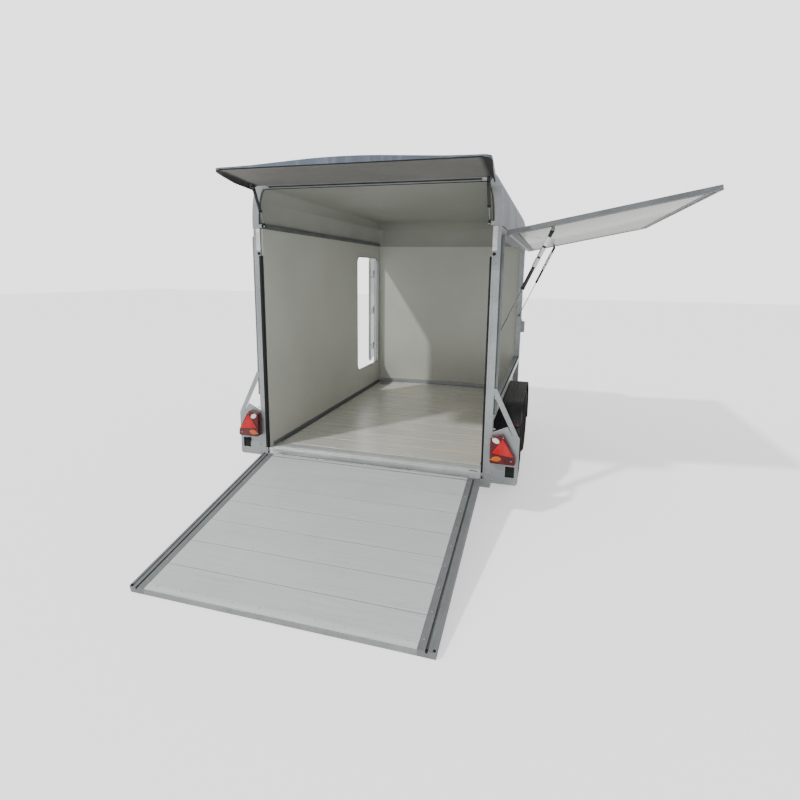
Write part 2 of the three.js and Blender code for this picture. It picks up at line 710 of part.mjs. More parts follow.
function buildHoop() {
  const front = roofRear - gap;
  const outer = sweep("y", roofSection(roofX, roofTopZ, roofCorner, eavesZ), 0, front);
  const innerShape = roofSection(hoopInnerX, hoopInnerTop, roofInnerCorner, eavesZ - beyond);
  const inner = sweep("y", innerShape, -beyond, front + beyond);
  const reach = canopyHingeHalf - canopyHingeInset;
  const pin = bar([-reach, canopyHinge.y, canopyHinge.z], [reach, canopyHinge.y, canopyHinge.z], 5, 8);
  const web = box([-reach, reach], [canopyHinge.y, 2], [canopyHinge.z - 3, canopyHinge.z + 3]);
  const { radius, footY } = canopyStrut;
  const lugZ = [canopyStrutFootZ - lugSize, canopyStrutFootZ + lugSize];
  const lugX = canopyStrutX + radius + 2;
  const lugs = sides.flatMap(([, side]) => [
    boxAt(side, [lugX, hoopInnerX + 10], [1, front], lugZ),
    boxAt(side, [lugX, roofInnerX - 1.5], [1, footY + lugSize], lugZ),
  ]);
  add("rear_hoop", join(cut(outer, inner), pin, web, ...lugs), galvanised());
}

// ---- rear ramp: built level behind its hinge, then lowered to the ground ----
function buildRamp() {
  const group = new THREE.Group();
  group.position.set(0, rampHinge.y, rampHinge.z);
  group.rotation.x = rampAngle;
  trailer.add(group);
  const start = -(rampTubeRadius + 10);
  const deckX = rampHalfWidth - rampRailWidth - gap;
  const deck = box([-deckX, deckX], [-rampLength, start], [-rampUnder, rampDeckTop]);
  const fixed = fixedKnuckles();
  const knuckles = fixed.slice(1).flatMap((x, i) => {
    const range = [fixed[i][1] + clear, x[0] - clear];
    return [bar([range[0], 0, 0], [range[1], 0, 0], rampTubeRadius), box(range, [start - 4, 0], [-6, 6])];
  });
  add("ramp_deck", join(deck, ...knuckles), plankMetal(), group);
  for (const [word, side] of sides) {
    const inner = rampHalfWidth - rampRailWidth;
    const section = [
      [inner, -rampUnder],
      [rampHalfWidth, -rampUnder],
      [rampHalfWidth, rampLipTop],
      [rampHalfWidth - 12, rampLipTop],
      [rampHalfWidth - 12, rampRailTop],
      [rampHalfWidth - 34, rampRailTop],
      [rampHalfWidth - 34, rampRailTop - 9],
      [rampHalfWidth - 46, rampRailTop - 9],
      [rampHalfWidth - 46, rampRailTop],
      [inner, rampRailTop],
    ].map(([x, z]) => [side * x, z]);
    add("ramp_rail_" + word, sweep("y", outline(section), -rampLength, start), galvanised(), group);
  }
}

// ---- gas struts ----
// A strut in its own frame: the tube's eye at the origin and the rod's eye up the Y axis.
function strutParts(radius, openLength, shutLength) {
  const tubeLength = shutLength - strutHeadroom;
  const tubeProfile = [
    [0, 0],
    [radius, 0],
    [radius, tubeLength],
    [strutBore, tubeLength],
    [strutBore, strutEndWall],
    [0, strutEndWall],
  ].map(([r, y]) => new THREE.Vector2(r, y));
  const tube = new THREE.LatheGeometry(tubeProfile, 12);
  const eye = () => bar([0, 0, -8], [0, 0, 8], 9, 12);
  const rodEnd = openLength - (shutLength - strutEndWall - 2);
  const rod = bar([0, rodEnd, 0], [0, openLength, 0], strutRodRadius, 10);
  return { tube: join(tube, eye()), rod: join(rod, eye().translate(0, openLength, 0)) };
}

// Places an open strut from its tube pin to its rod pin, with the pins' axis along the given direction.
function placeStrut(name, radius, tubePin, rodPin, shutPin, pinAxis) {
  const along = rodPin.clone().sub(tubePin);
  const { tube, rod } = strutParts(radius, along.length(), shutPin.distanceTo(rodPin));
  const y = along.clone().normalize();
  const turn = new THREE.Matrix4().makeBasis(y.clone().cross(pinAxis), y, pinAxis);
  turn.setPosition(tubePin);
  add(name + "_tube", tube.applyMatrix4(turn), blackPlastic());
  add(name + "_rod", rod.applyMatrix4(turn), galvanised());
  struts[name] = { tubePin, rodPin, shutPin };
}

// ---- rear canopy flap: built level behind its hinge, then tipped up ----
// A point given along the flap and inside it, open or shut, in the trailer's frame.
function canopyPoint(side, along, inside, shut) {
  const angle = shut ? Math.PI / 2 : -degrees(canopyOpenAngle);
  const y = canopyHinge.y - along * Math.cos(angle) + inside * Math.sin(angle);
  const z = canopyHinge.z - along * Math.sin(angle) - inside * Math.cos(angle);
  return new THREE.Vector3(side * canopyStrutX, y, z);
}

// Its side rims stop short of the posts and the hoop when it is shut.
const canopyCheekDepth = -canopyHinge.y - canopyInner - clear - 1;
const canopyHalf = (y) => canopyHingeHalf + ((canopyTipHalf - canopyHingeHalf) * -y) / canopyLength;

// The flap seen from above, drawn in by inset, from its free edge to the given line.
function canopyPlan(inset, rearLine) {
  const rear = canopyHalf(rearLine) - inset;
  const tip = canopyTipHalf - inset;
  const end = -canopyLength + inset;
  const shape = new THREE.Shape();
  shape.moveTo(-rear, rearLine);
  shape.lineTo(-tip, end + canopyCorner);
  shape.quadraticCurveTo(-tip, end, -tip + canopyCorner, end);
  shape.lineTo(tip - canopyCorner, end);
  shape.quadraticCurveTo(tip, end, tip, end + canopyCorner);
  shape.lineTo(rear, rearLine);
  return shape;
}

// The hollow under the flap: its upper edge rounds out to the rim.
function canopyHollow() {
  const depth = 100;
  const geometry = new THREE.ExtrudeGeometry(canopyPlan(canopyRim + canopyFillet, 3 * canopyCorner), {
    depth,
    curveSegments: 3,
    bevelSize: canopyFillet,
    bevelThickness: canopyCheekDepth,
    bevelSegments: 4,
  });
  return geometry.translate(0, 0, -canopyInner - depth - canopyCheekDepth);
}

function canopyBody() {
  const bottom = -canopyInner - canopyCheekDepth;
  const section = new THREE.Shape();
  section.moveTo(-canopyTipHalf, bottom);
  section.lineTo(canopyTipHalf, bottom);
  section.lineTo(canopyTipHalf, canopyEdge);
  section.bezierCurveTo(
    0.5 * canopyTipHalf, canopyEdge,
    0.4 * canopyTipHalf, canopyEdge + canopyBulge,
    0, canopyEdge + canopyBulge,
  );
  section.bezierCurveTo(
    -0.4 * canopyTipHalf, canopyEdge + canopyBulge,
    -0.5 * canopyTipHalf, canopyEdge,
    -canopyTipHalf, canopyEdge,
  );
  const profile = outline([
    [-hingeSetback, canopyEdge + 2 * canopyBulge],
    [-hingeSetback, bottom],
    [-0.5 * canopyLength, bottom],
    [-0.8 * canopyLength, -canopyInner - 0.5 * canopyCheekDepth],
    [-canopyLength, -canopyInner],
    [-canopyLength, canopyEdge + 2 * canopyBulge],
  ]);
  const block = common(
    sweep("y", section, -canopyLength, -hingeSetback, 8),
    sweep("z", canopyPlan(0, -hingeSetback), bottom - beyond, 2 * canopyBulge + beyond),
    sweep("x", profile, -canopyTipHalf, canopyTipHalf),
  );
  return cut(block, canopyHollow());
}

function buildCanopy() {
  const group = new THREE.Group();
  group.position.set(0, canopyHinge.y, canopyHinge.z);
  group.rotation.x = -degrees(canopyOpenAngle);
  trailer.add(group);
  const { radius, pinFromHinge, pinInside } = canopyStrut;
  const lugX = [canopyStrutX + radius + 2, canopyStrutX + radius + 8];
  const lugY = [-pinFromHinge - 10, -pinFromHinge + 10];
  const lugs = sides.map(([, side]) => boxAt(side, lugX, lugY, [-pinInside - 9, 0]));
  add("canopy", join(canopyBody(), ...lugs), gelcoat(), group);
  for (const [word, side] of sides) {
    const foot = new THREE.Vector3(side * canopyStrutX, canopyStrut.footY, canopyStrutFootZ);
    const open = canopyPoint(side, pinFromHinge, pinInside, false);
    const shut = canopyPoint(side, pinFromHinge, pinInside, true);
    placeStrut("canopy_strut_" + word, radius, open, foot, shut, new THREE.Vector3(1, 0, 0));
  }
}

// ---- full-length side flap: built level beside its hinge, then tipped up ----
const sideStrutY = [72, frontPostY - 70];

function flapPoint(y, along, inside, shut) {
  const angle = shut ? -Math.PI / 2 : degrees(flapOpenAngle);
  const x = flapHinge.x + along * Math.cos(angle) + inside * Math.sin(angle);
  const z = flapHinge.z + along * Math.sin(angle) - inside * Math.cos(angle);
  return new THREE.Vector3(x, y, z);
}

function buildSideFlap() {
  const group = new THREE.Group();
  group.position.set(flapHinge.x, 0, flapHinge.z);
  group.rotation.y = -degrees(flapOpenAngle);
  trailer.add(group);
  const start = hingeSetback;
  const board = box([start, flapLength], [flapRear, flapFront], [-flapInner, flapOuter]);
  const recess = box(
    [start + flapFrame, flapLength - flapFrame],
    [flapRear + flapFrame, flapFront - flapFrame],
    [-flapInner - 20, -flapInner + flapRecess],
  );
  const { pinFromHinge, pinInside, radius } = sideStrut;
  const lugs = sideStrutY.map((y, i) => {
    const away = i === 0 ? [y - radius - 8, y - radius - 2] : [y + radius + 2, y + radius + 8];
    return box([pinFromHinge - 10, pinFromHinge + 10], away, [-pinInside - 9, -flapInner + flapRecess + 2]);
  });
  add("side_flap", join(cut(board, recess), ...lugs), galvanised(), group);
  sideStrutY.forEach((y, i) => {
    const foot = new THREE.Vector3(sideStrutFoot.x, y, sideStrutFoot.z);
    const open = flapPoint(y, pinFromHinge, pinInside, false);
    const shut = flapPoint(y, pinFromHinge, pinInside, true);
    const word = i === 0 ? "rear" : "front";
    placeStrut("side_strut_" + word, radius, open, foot, shut, new THREE.Vector3(0, 1, 0));
  });
}

// ---- side door: built shut about its hinge axis, then swung forward ----
function buildSideDoor() {
  const group = new THREE.Group();
  group.position.set(doorAxis.x, doorAxis.y, 0);
  group.rotation.z = -degrees(doorOpenAngle);
  trailer.add(group);
  const y = [doorY[0] - doorOverlap - doorAxis.y, doorY[1] + doorOverlap - doorAxis.y];
  const z = [doorZ[0] - doorOverlap, doorZ[1] + doorOverlap];
  const inner = -wallX - clear - doorAxis.x;
  const panel = sweep("x", roundedRectangle(...y, ...z, doorCorner + doorOverlap), inner - doorThickness, inner);
  const arms = doorHingeZ.flatMap((middle) => {
    const low = middle - doorKnuckle - 1;
    return [
      bar([0, 0, low], [0, 0, low + doorKnuckle], 6),
      box([-5, inner - doorThickness + 2], [-24, 2], [low, low + doorKnuckle]),
    ];
  });
  const straps = doorHingeZ.map((middle) => {
    const low = middle - doorKnuckle - 1;
    return box([inner - doorThickness - 5, inner - doorThickness + 2], [-150, -14], [low, low + doorKnuckle]);
  });
  add("side_door", join(panel, ...arms, ...straps), laminate(), group);
}

// ---- lamp brackets and lamps ----
// An outline of [x, height above the floor] points, mirrored to its side.
function lampShape(side, points) {
  return outline(points.map(([x, above]) => [side * x, floorTop + above]));
}

function buildLamps() {
  const inner = postX + 1;
  const outer = postX + 170;
  const shelfZ = floorTop - 60;
  for (const [word, side] of sides) {
    const plate = lampShape(side, [
      [inner, -60],
      [outer - 12, -60],
      [outer, -48],
      [outer, 250],
      [inner + 16, 560],
      [inner, 560],
      [inner, 520],
      [outer - 34, 250],
      [inner + 92, 322],
      [inner, 278],
    ]);
    const slot = lampShape(side, [
      [inner + 90, -10],
      [outer - 22, -10],
      [outer - 22, 62],
      [inner + 90, 62],
    ]);
    const bracket = cut(sweep("y", plate, 0, 4), sweep("y", slot, -5, 9));
    const shelf = boxAt(side, [inner, outer - 12], [2, 60], [shelfZ, shelfZ + 4]);
    const edge = boxAt(side, [outer - 4, outer], [2, 40], [shelfZ + 12, floorTop + 250]);
    add("lamp_bracket_" + word, join(bracket, shelf, edge), galvanised());
    const lamp = lampShape(side, [
      [inner - 6, 100],
      [inner + 2, 90],
      [outer - 22, 88],
      [outer - 14, 102],
      [outer - 18, 136],
      [inner + 78, 268],
      [inner + 66, 276],
      [inner + 2, 260],
      [inner - 6, 248],
    ]);
    add("lamp_" + word, sweep("y", lamp, -46, -gap), lampRed());
  }
}

buildChassis();
buildRearBeam();
buildFloor();
buildDrawbar();
buildJockey();
buildRunningGear();
buildMudguards();
buildWalls();
buildPosts();
buildEavesRails();
buildRoof();
buildHoop();
buildRamp();
buildCanopy();
buildSideFlap();
buildSideDoor();
buildLamps();

// The part's origin is on the ground under the middle of its overall box.
const overall = new THREE.Box3().setFromObject(trailer, true);
const middle = overall.getCenter(new THREE.Vector3());
trailer.position.set(-middle.x, -middle.y, -overall.min.z);

// The axes of everything that moves, in the trailer's own frame before that shift.
trailer.userData.pivots = {
  ramp: [0, rampHinge.y, rampHinge.z],
  canopy: [0, canopyHinge.y, canopyHinge.z],
  sideFlap: [flapHinge.x, 0, flapHinge.z],
  sideDoor: [doorAxis.x, doorAxis.y, 0],
  rearWheels: [0, rearAxleY, tyreRadius],
  frontWheels: [0, rearAxleY + axleSpacing, tyreRadius],
  jockey: [jockeyX, jockeyY, 0],
  jockeyWheel: [jockeyX, jockeyY - jockey.trail, jockey.wheelRadius],
  struts,
};
trailer.userData.swings = {
  ramp: 90 + THREE.MathUtils.radToDeg(rampAngle),
  canopy: 90 + canopyOpenAngle,
  sideFlap: 90 + flapOpenAngle,
  sideDoor: doorOpenAngle,
  jockeyTravel: jockey.travel,
};

export default trailer;
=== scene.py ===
import bpy
import bmesh
import json
import math
from mathutils import Matrix, Vector

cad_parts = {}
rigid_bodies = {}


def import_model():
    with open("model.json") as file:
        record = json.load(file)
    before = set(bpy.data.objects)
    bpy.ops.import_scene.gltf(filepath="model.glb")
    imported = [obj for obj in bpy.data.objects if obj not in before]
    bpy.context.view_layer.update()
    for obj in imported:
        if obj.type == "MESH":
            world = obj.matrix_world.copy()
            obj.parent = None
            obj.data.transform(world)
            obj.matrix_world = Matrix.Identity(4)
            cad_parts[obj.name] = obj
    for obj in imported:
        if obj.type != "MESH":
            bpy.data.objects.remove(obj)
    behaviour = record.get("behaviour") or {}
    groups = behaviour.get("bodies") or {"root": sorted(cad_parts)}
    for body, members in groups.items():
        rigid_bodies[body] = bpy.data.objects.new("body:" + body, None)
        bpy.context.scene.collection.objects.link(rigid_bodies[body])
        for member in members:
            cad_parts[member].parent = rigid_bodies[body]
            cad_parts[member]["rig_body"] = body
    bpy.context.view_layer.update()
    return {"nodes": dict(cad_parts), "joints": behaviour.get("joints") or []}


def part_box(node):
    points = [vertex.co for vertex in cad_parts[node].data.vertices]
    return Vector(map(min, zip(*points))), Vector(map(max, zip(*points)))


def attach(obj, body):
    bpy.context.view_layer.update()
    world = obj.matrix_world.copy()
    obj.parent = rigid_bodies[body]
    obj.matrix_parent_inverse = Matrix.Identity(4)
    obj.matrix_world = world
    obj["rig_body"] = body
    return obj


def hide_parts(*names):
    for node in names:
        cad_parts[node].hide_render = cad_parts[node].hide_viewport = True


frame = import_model()
nodes = frame["nodes"]
joints = {j["name"]: j for j in frame["joints"]}

# sizes read from the frame; X from the body's centre line, Y from its rear face, Z from the ground
midX = (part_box("rear_post_left")[0].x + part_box("rear_post_right")[1].x) / 2
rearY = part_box("rear_post_left")[0].y
bodyShift = Matrix.Translation((midX, rearY, 0))
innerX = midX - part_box("wall_left")[1].x
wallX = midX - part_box("wall_left")[0].x
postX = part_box("rear_post_right")[1].x - midX
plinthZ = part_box("rear_post_left")[0].z
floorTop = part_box("floor")[1].z
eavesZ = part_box("roof")[0].z
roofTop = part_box("roof")[1].z
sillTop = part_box("side_sill_right")[1].z
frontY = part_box("wall_left")[1].y - rearY
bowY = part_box("floor")[1].y - rearY
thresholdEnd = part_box("threshold")[1].y - rearY
rampLength = 1.31
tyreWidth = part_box("tyre_rear_left")[1].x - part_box("tyre_rear_left")[0].x
rampTop = 0.022  # deck above the ramp's hinge axis
rampHalf = wallX - 0.003
railWidth = 0.080  # each of the ramp's side rails
frontBow = 0.06  # the front wall stands this much ahead of its corners in the middle
frontCorner = 2.46
sink = 0.001  # how far a fitted piece sits into what carries it
merge = 1e-6  # points closer than this are one
axisGap = 0.0003  # turned profiles stop this far from their axis


def openAngle(name, rightAngle):
    return math.radians(joints[name]["range_deg"][1] - rightAngle)


def hingeFrame(name, axis, angle):
    return Matrix.Translation(joints[name]["pos_m"]) @ Matrix.Rotation(angle, 4, axis)


rampFrame = hingeFrame("ramp_hinge", "X", openAngle("ramp_hinge", 90))
canopyFrame = hingeFrame("canopy_hinge", "X", -openAngle("canopy_hinge", 90))
flapFrame = hingeFrame("side_flap_hinge", "Y", -openAngle("side_flap_hinge", 90))
doorFrame = hingeFrame("side_door_hinge", "Z", -openAngle("side_door_hinge", 0))

cameraSettings = {"at": (1.147, -3.148, 1.577), "yaw": 16.254, "pitch": -10.72, "roll": 0.71, "lens": 23.12,
                  "shiftX": -0.0025, "shiftY": -0.0387}


def makeCamera(s):
    data = bpy.data.cameras.new("camera")
    data.lens = s["lens"]
    data.sensor_width = 36
    data.shift_x = s["shiftX"]
    data.shift_y = s["shiftY"]
    camera = bpy.data.objects.new("camera", data)
    bpy.context.scene.collection.objects.link(camera)
    turn = Matrix.Rotation(math.radians(s["yaw"]), 4, "Z")
    turn = turn @ Matrix.Rotation(math.radians(90 + s["pitch"]), 4, "X")
    turn = turn @ Matrix.Rotation(math.radians(s["roll"]), 4, "Z")
    camera.matrix_world = bodyShift @ Matrix.Translation(s["at"]) @ turn
    bpy.context.scene.camera = camera


makeCamera(cameraSettings)
print("camera placed")


def addNode(tree, kind, inputs=None, **settings):
    made = tree.nodes.new(kind)
    for key, value in settings.items():
        setattr(made, key, value)
    for key, value in (inputs or {}).items():
        if isinstance(value, bpy.types.NodeSocket):
            tree.links.new(value, made.inputs[key])
        else:
            made.inputs[key].default_value = value
    return made


def mixColour(tree, factor, a, b, blend="MIX"):
    made = addNode(tree, "ShaderNodeMix", data_type="RGBA", blend_type=blend)
    for index, value in ((0, factor), (6, a), (7, b)):
        if isinstance(value, bpy.types.NodeSocket):
            tree.links.new(value, made.inputs[index])
        elif index == 0:
            made.inputs[index].default_value = value
        else:
            made.inputs[index].default_value = (*value[:3], 1)
    return made.outputs[2]


def maths(tree, operation, a, b=0.0):
    return addNode(tree, "ShaderNodeMath", {0: a, 1: b}, operation=operation).outputs[0]


def spread(tree, value, low, high, toLow=0.0, toHigh=1.0):
    limits = {"Value": value, "From Min": low, "From Max": high, "To Min": toLow, "To Max": toHigh}
    return addNode(tree, "ShaderNodeMapRange", limits, clamp=True).outputs[0]


def stretched(tree, point, scale, turn=(0, 0, 0)):
    return addNode(tree, "ShaderNodeMapping", {"Vector": point, "Scale": scale, "Rotation": turn}).outputs[0]


def noise(tree, point, scale, detail=3.0, rough=0.55):
    wanted = {"Vector": point, "Scale": scale, "Detail": detail, "Roughness": rough}
    return addNode(tree, "ShaderNodeTexNoise", wanted).outputs["Fac"]


def makeGroup(name, inputs, outputs, build):
    # inputs are (name, kind, default); build gets the tree and both ends of the group
    tree = bpy.data.node_groups.new(name, "ShaderNodeTree")
    for label, kind, default in inputs:
        socket = tree.interface.new_socket(name=label, in_out="INPUT", socket_type="NodeSocket" + kind)
        if default is not None:
            socket.default_value = default
    for label, kind in outputs:
        tree.interface.new_socket(name=label, in_out="OUTPUT", socket_type="NodeSocket" + kind)
    start = tree.nodes.new("NodeGroupInput").outputs
    end = tree.nodes.new("NodeGroupOutput").inputs
    build(tree, start, end)
    return tree


def useGroup(tree, group, inputs):
    made = tree.nodes.new("ShaderNodeGroup")
    made.node_tree = group
    for key, value in inputs.items():
        if isinstance(value, bpy.types.NodeSocket):
            tree.links.new(value, made.inputs[key])
        else:
            made.inputs[key].default_value = value
    return made.outputs


def buildSpangle(tree, start, end):
    # zinc crystals: cells of slightly different grey, some duller than others
    wobble = noise(tree, start["Point"], 30)
    moved = addNode(tree, "ShaderNodeVectorMath", {0: start["Point"], 1: wobble}, operation="ADD").outputs[0]
    cells = addNode(tree, "ShaderNodeTexVoronoi", {"Vector": moved, "Scale": start["Scale"]})
    shade = addNode(tree, "ShaderNodeSeparateColor", {0: cells.outputs["Color"]}).outputs[0]
    cloud = spread(tree, noise(tree, start["Point"], 5), 0.35, 0.65)
    mixed = maths(tree, "ADD", maths(tree, "MULTIPLY", shade, 0.6), maths(tree, "MULTIPLY", cloud, 0.4))
    tree.links.new(mixed, end["Mask"])


def buildGrime(tree, start, end):
    # soft dirty patches with specks in them
    patch = spread(tree, noise(tree, start["Point"], start["Scale"], 4), 0.52, 0.75)
    fine = spread(tree, noise(tree, start["Point"], 60, 4, 0.7), 0.4, 0.7)
    both = maths(tree, "MULTIPLY", patch, maths(tree, "ADD", maths(tree, "MULTIPLY", fine, 0.6), 0.4))
    tree.links.new(maths(tree, "MULTIPLY", both, start["Strength"]), end["Mask"])


def buildScratches(tree, start, end):
    # thin lines along the long direction of the stretched point
    lines = addNode(tree, "ShaderNodeTexVoronoi", {"Vector": start["Point"], "Scale": start["Scale"]},
                    feature="DISTANCE_TO_EDGE").outputs["Distance"]
    thin = spread(tree, lines, 0.0, 0.02, 1.0, 0.0)
    some = spread(tree, noise(tree, start["Point"], 2), 0.5, 0.62)
    tree.links.new(maths(tree, "MULTIPLY", thin, some), end["Mask"])


def buildEdges(tree, start, end):
    # a rounded normal for sharp corners, and a mask of where it differs from the flat one
    soft = addNode(tree, "ShaderNodeBevel", {"Radius": start["Radius"]}, samples=4).outputs[0]
    flat = addNode(tree, "ShaderNodeNewGeometry").outputs["True Normal"]
    match = addNode(tree, "ShaderNodeVectorMath", {0: soft, 1: flat},
                    operation="DOT_PRODUCT").outputs["Value"]
    broken = maths(tree, "MULTIPLY", spread(tree, match, 0.75, 0.98, 1.0, 0.0),
                   spread(tree, noise(tree, start["Point"], 40), 0.4, 0.6))
    tree.links.new(broken, end["Mask"])
    tree.links.new(soft, end["Normal"])


spangleGroup = makeGroup("spangle", [("Point", "Vector", None), ("Scale", "Float", 60.0)], [("Mask",
                                                                                             "Float")],
                         buildSpangle)
grimeGroup = makeGroup("grime", [("Point", "Vector", None), ("Scale", "Float", 3.0), ("Strength", "Float",
                                                                                      0.5)], [("Mask",
                                                                                               "Float")],
                       buildGrime)
scratchGroup = makeGroup("scratches", [("Point", "Vector", None), ("Scale", "Float", 8.0)], [("Mask",
                                                                                              "Float")],
                         buildScratches)
edgeGroup = makeGroup("edges", [("Point", "Vector", None), ("Radius", "Float", 0.002)], [("Mask", "Float"),
                                                                                         ("Normal",
                                                                                          "Vector")],
                      buildEdges)


def startMaterial(name, metallic=0.0):
    made = bpy.data.materials.new(name)
    made.use_nodes = True
    tree = made.node_tree
    shader = tree.nodes["Principled BSDF"]
    shader.inputs["Metallic"].default_value = metallic
    point = tree.nodes.new("ShaderNodeTexCoord").outputs["Object"]
    return made, tree, shader, point


def finishShader(tree, shader, colour, rough, height=None, depth=0.001, normal=None):
    tree.links.new(colour, shader.inputs["Base Color"])
    tree.links.new(rough, shader.inputs["Roughness"])
    if height is not None:
        bump = addNode(tree, "ShaderNodeBump", {"Height": height, "Distance": depth, "Strength": 0.6})
        if normal is not None:
            tree.links.new(normal, bump.inputs["Normal"])
        normal = bump.outputs[0]
    if normal is not None:
        tree.links.new(normal, shader.inputs["Normal"])


def zincFinish(name, s):
    made, tree, shader, point = startMaterial(name, s["metallic"])
    spangle = useGroup(tree, spangleGroup, {"Point": point, "Scale": s["cells"]})["Mask"]
    edges = useGroup(tree, edgeGroup, {"Point": point, "Radius": 0.002})
    dirt = useGroup(tree, grimeGroup, {"Point": point, "Scale": 4.0, "Strength": s["dirt"]})["Mask"]
    low = addNode(tree, "ShaderNodeSeparateXYZ", {0: point}).outputs["Z"]
    splash = maths(tree, "MULTIPLY", spread(tree, low, 0.15, 0.6, 0.5, 0.0), noise(tree, point, 9, 5))
    colour = mixColour(tree, spangle, s["dark"], s["light"])
    colour = mixColour(tree, edges["Mask"], colour, s["worn"])
    colour = mixColour(tree, maths(tree, "ADD", dirt, splash), colour, s["grime"])
    rough = maths(tree, "ADD", spread(tree, spangle, 0, 1, s["rough"] - 0.07, s["rough"] + 0.1),
                  maths(tree, "MULTIPLY", dirt, 0.3))
    finishShader(tree, shader, colour, rough, spangle, 0.0002, edges["Normal"])
    return made


zincSettings = {"metallic": 0.75, "cells": 70.0, "dirt": 0.35, "dark": (0.26, 0.28, 0.29),
                "light": (0.44, 0.465, 0.475), "worn": (0.64, 0.66, 0.67), "grime": (0.20, 0.19, 0.17),
                "rough": 0.42}
galvanised = zincFinish("galvanised", zincSettings)
# a darker copy of the zinc: dull zinc on some parts, painted shade on the rear arch's inner faces
galvanisedDullAndShade = zincFinish("galvanised_dull_and_shade", dict(zincSettings, dark=(0.11, 0.122, 0.13),
                                                    light=(0.20, 0.217, 0.225), worn=(0.34, 0.36, 0.37),
                                                    metallic=0.5, rough=0.5))
brightTrim = zincFinish("bright_trim", dict(zincSettings, cells=25.0, dirt=0.15, dark=(0.60, 0.63, 0.63),
                                            light=(0.78, 0.81, 0.80), metallic=0.5, rough=0.33))
railZinc = zincFinish("rail_zinc", dict(zincSettings, dark=(0.16, 0.178, 0.19), light=(0.26, 0.285, 0.30),
                                        metallic=0.45, worn=(0.42, 0.44, 0.45), rough=0.5))
# a near-black copy of the zinc: painted shade in the ramp rails' grooves
grooveShadeZinc = zincFinish("groove", dict(zincSettings, dark=(0.035, 0.04, 0.042), light=(0.07, 0.076, 0.08),
                                       metallic=0.3))


def plankFinish(name, s, turn=0.0):
    # mill-finish aluminium: rolling lines along the planks, scuffs and a little ingrained dirt
    made, tree, shader, point = startMaterial(name, s["metallic"])
    level = stretched(tree, point, (1, 1, 1), (turn, 0, 0))
    rolled = noise(tree, stretched(tree, level, (0.6, 90, 90)), 3, 4, 0.6)
    cloud = noise(tree, stretched(tree, level, (0.7, 2.2, 1)), 1.6, 3)
    plank = addNode(tree, "ShaderNodeSeparateXYZ", {0: level}).outputs["Y"]
    step = maths(tree, "FLOOR", maths(tree, "DIVIDE", plank, s["plank"]))
    tint = addNode(tree, "ShaderNodeTexWhiteNoise", {"W": step}, noise_dimensions="1D").outputs["Value"]
    scuff = useGroup(tree, scratchGroup, {"Point": stretched(tree, level, (0.35, 1, 1)),
                                          "Scale": 9.0})["Mask"]
    dirt = useGroup(tree, grimeGroup, {"Point": point, "Scale": 2.6, "Strength": s["dirt"]})["Mask"]
    edges = useGroup(tree, edgeGroup, {"Point": point, "Radius": 0.0015})
    colour = mixColour(tree, spread(tree, rolled, 0.3, 0.7), s["dark"], s["light"])
    colour = mixColour(tree, spread(tree, tint, 0, 1, 0.0, s["tinted"]), colour, s["tint"])
    colour = mixColour(tree, spread(tree, cloud, 0.45, 0.7, 0.0, 0.3), colour, s["warm"])
    colour = mixColour(tree, maths(tree, "MULTIPLY", scuff, s["scuffed"]), colour, s["scuff"])
    colour = mixColour(tree, dirt, colour, s["grime"])
    rough = maths(tree, "ADD", spread(tree, rolled, 0.3, 0.7, s["rough"] - 0.05, s["rough"] + 0.08),
                  maths(tree, "MULTIPLY", dirt, 0.25))
    finishShader(tree, shader, colour, rough, rolled, 0.0004, edges["Normal"])
    return made


plankSettings = {"metallic": 0.45, "plank": 0.2, "dirt": 0.3, "dark": (0.66, 0.65, 0.60),
                 "light": (0.86, 0.84, 0.77), "warm": (0.88, 0.82, 0.62), "rough": 0.27,
                 "tint": (0.5, 0.51, 0.5), "tinted": 0.12, "scuff": (0.42, 0.42, 0.41), "scuffed": 0.35,
                 "grime": (0.33, 0.31, 0.28)}
floorPlank = plankFinish("floor_plank", plankSettings)
rampPlank = plankFinish("ramp_plank", dict(plankSettings, metallic=0.25, warm=(0.50, 0.53, 0.53), rough=0.5,
                                           dirt=0.3, light=(0.64, 0.68, 0.675), dark=(0.50, 0.54, 0.535)),
                        -openAngle("ramp_hinge", 90))


def laminateFinish(name, s):
    # a glossy cream laminate: faint fibres under the gloss, hand marks, rubbed streaks and darker patches
    # near the floor
    made, tree, shader, point = startMaterial(name)
    fibres = noise(tree, stretched(tree, point, (40, 1.2, 40)), 3, 3)
    cloud = noise(tree, point, 1.3, 3)
    scuff = useGroup(tree, scratchGroup, {"Point": stretched(tree, point, (1, 0.3, 1)), "Scale": 5.0})["Mask"]
    dirt = useGroup(tree, grimeGroup, {"Point": point, "Scale": 2.2, "Strength": s["dirt"]})["Mask"]
    low = addNode(tree, "ShaderNodeSeparateXYZ", {0: point}).outputs["Z"]
    # darker towards the floor, in patches
    nearFloor = maths(tree, "MULTIPLY", spread(tree, low, floorTop, floorTop + s["lowBandHeight"], s["lowBandDarkening"], 0.0),
                 noise(tree, point, 12, 5))
    colour = mixColour(tree, spread(tree, cloud, 0.3, 0.7), s["base"], s["pale"])
    colour = mixColour(tree, spread(tree, fibres, 0.45, 0.75, 0.0, 0.1), colour, s["warm"])
    colour = mixColour(tree, maths(tree, "MULTIPLY", scuff, s["scuffed"]), colour, s["scuff"])
    colour = mixColour(tree, maths(tree, "ADD", dirt, nearFloor), colour, s["grime"])
    rough = maths(tree, "ADD", spread(tree, cloud, 0.3, 0.7, s["rough"], s["rough"] + 0.08),
                  maths(tree, "MULTIPLY", maths(tree, "ADD", dirt, scuff), 0.25))
    finishShader(tree, shader, colour, rough, fibres, 0.0002)
    shader.inputs["Coat Weight"].default_value = s["coat"]
    shader.inputs["Coat Roughness"].default_value = s["coatRough"]
    return made


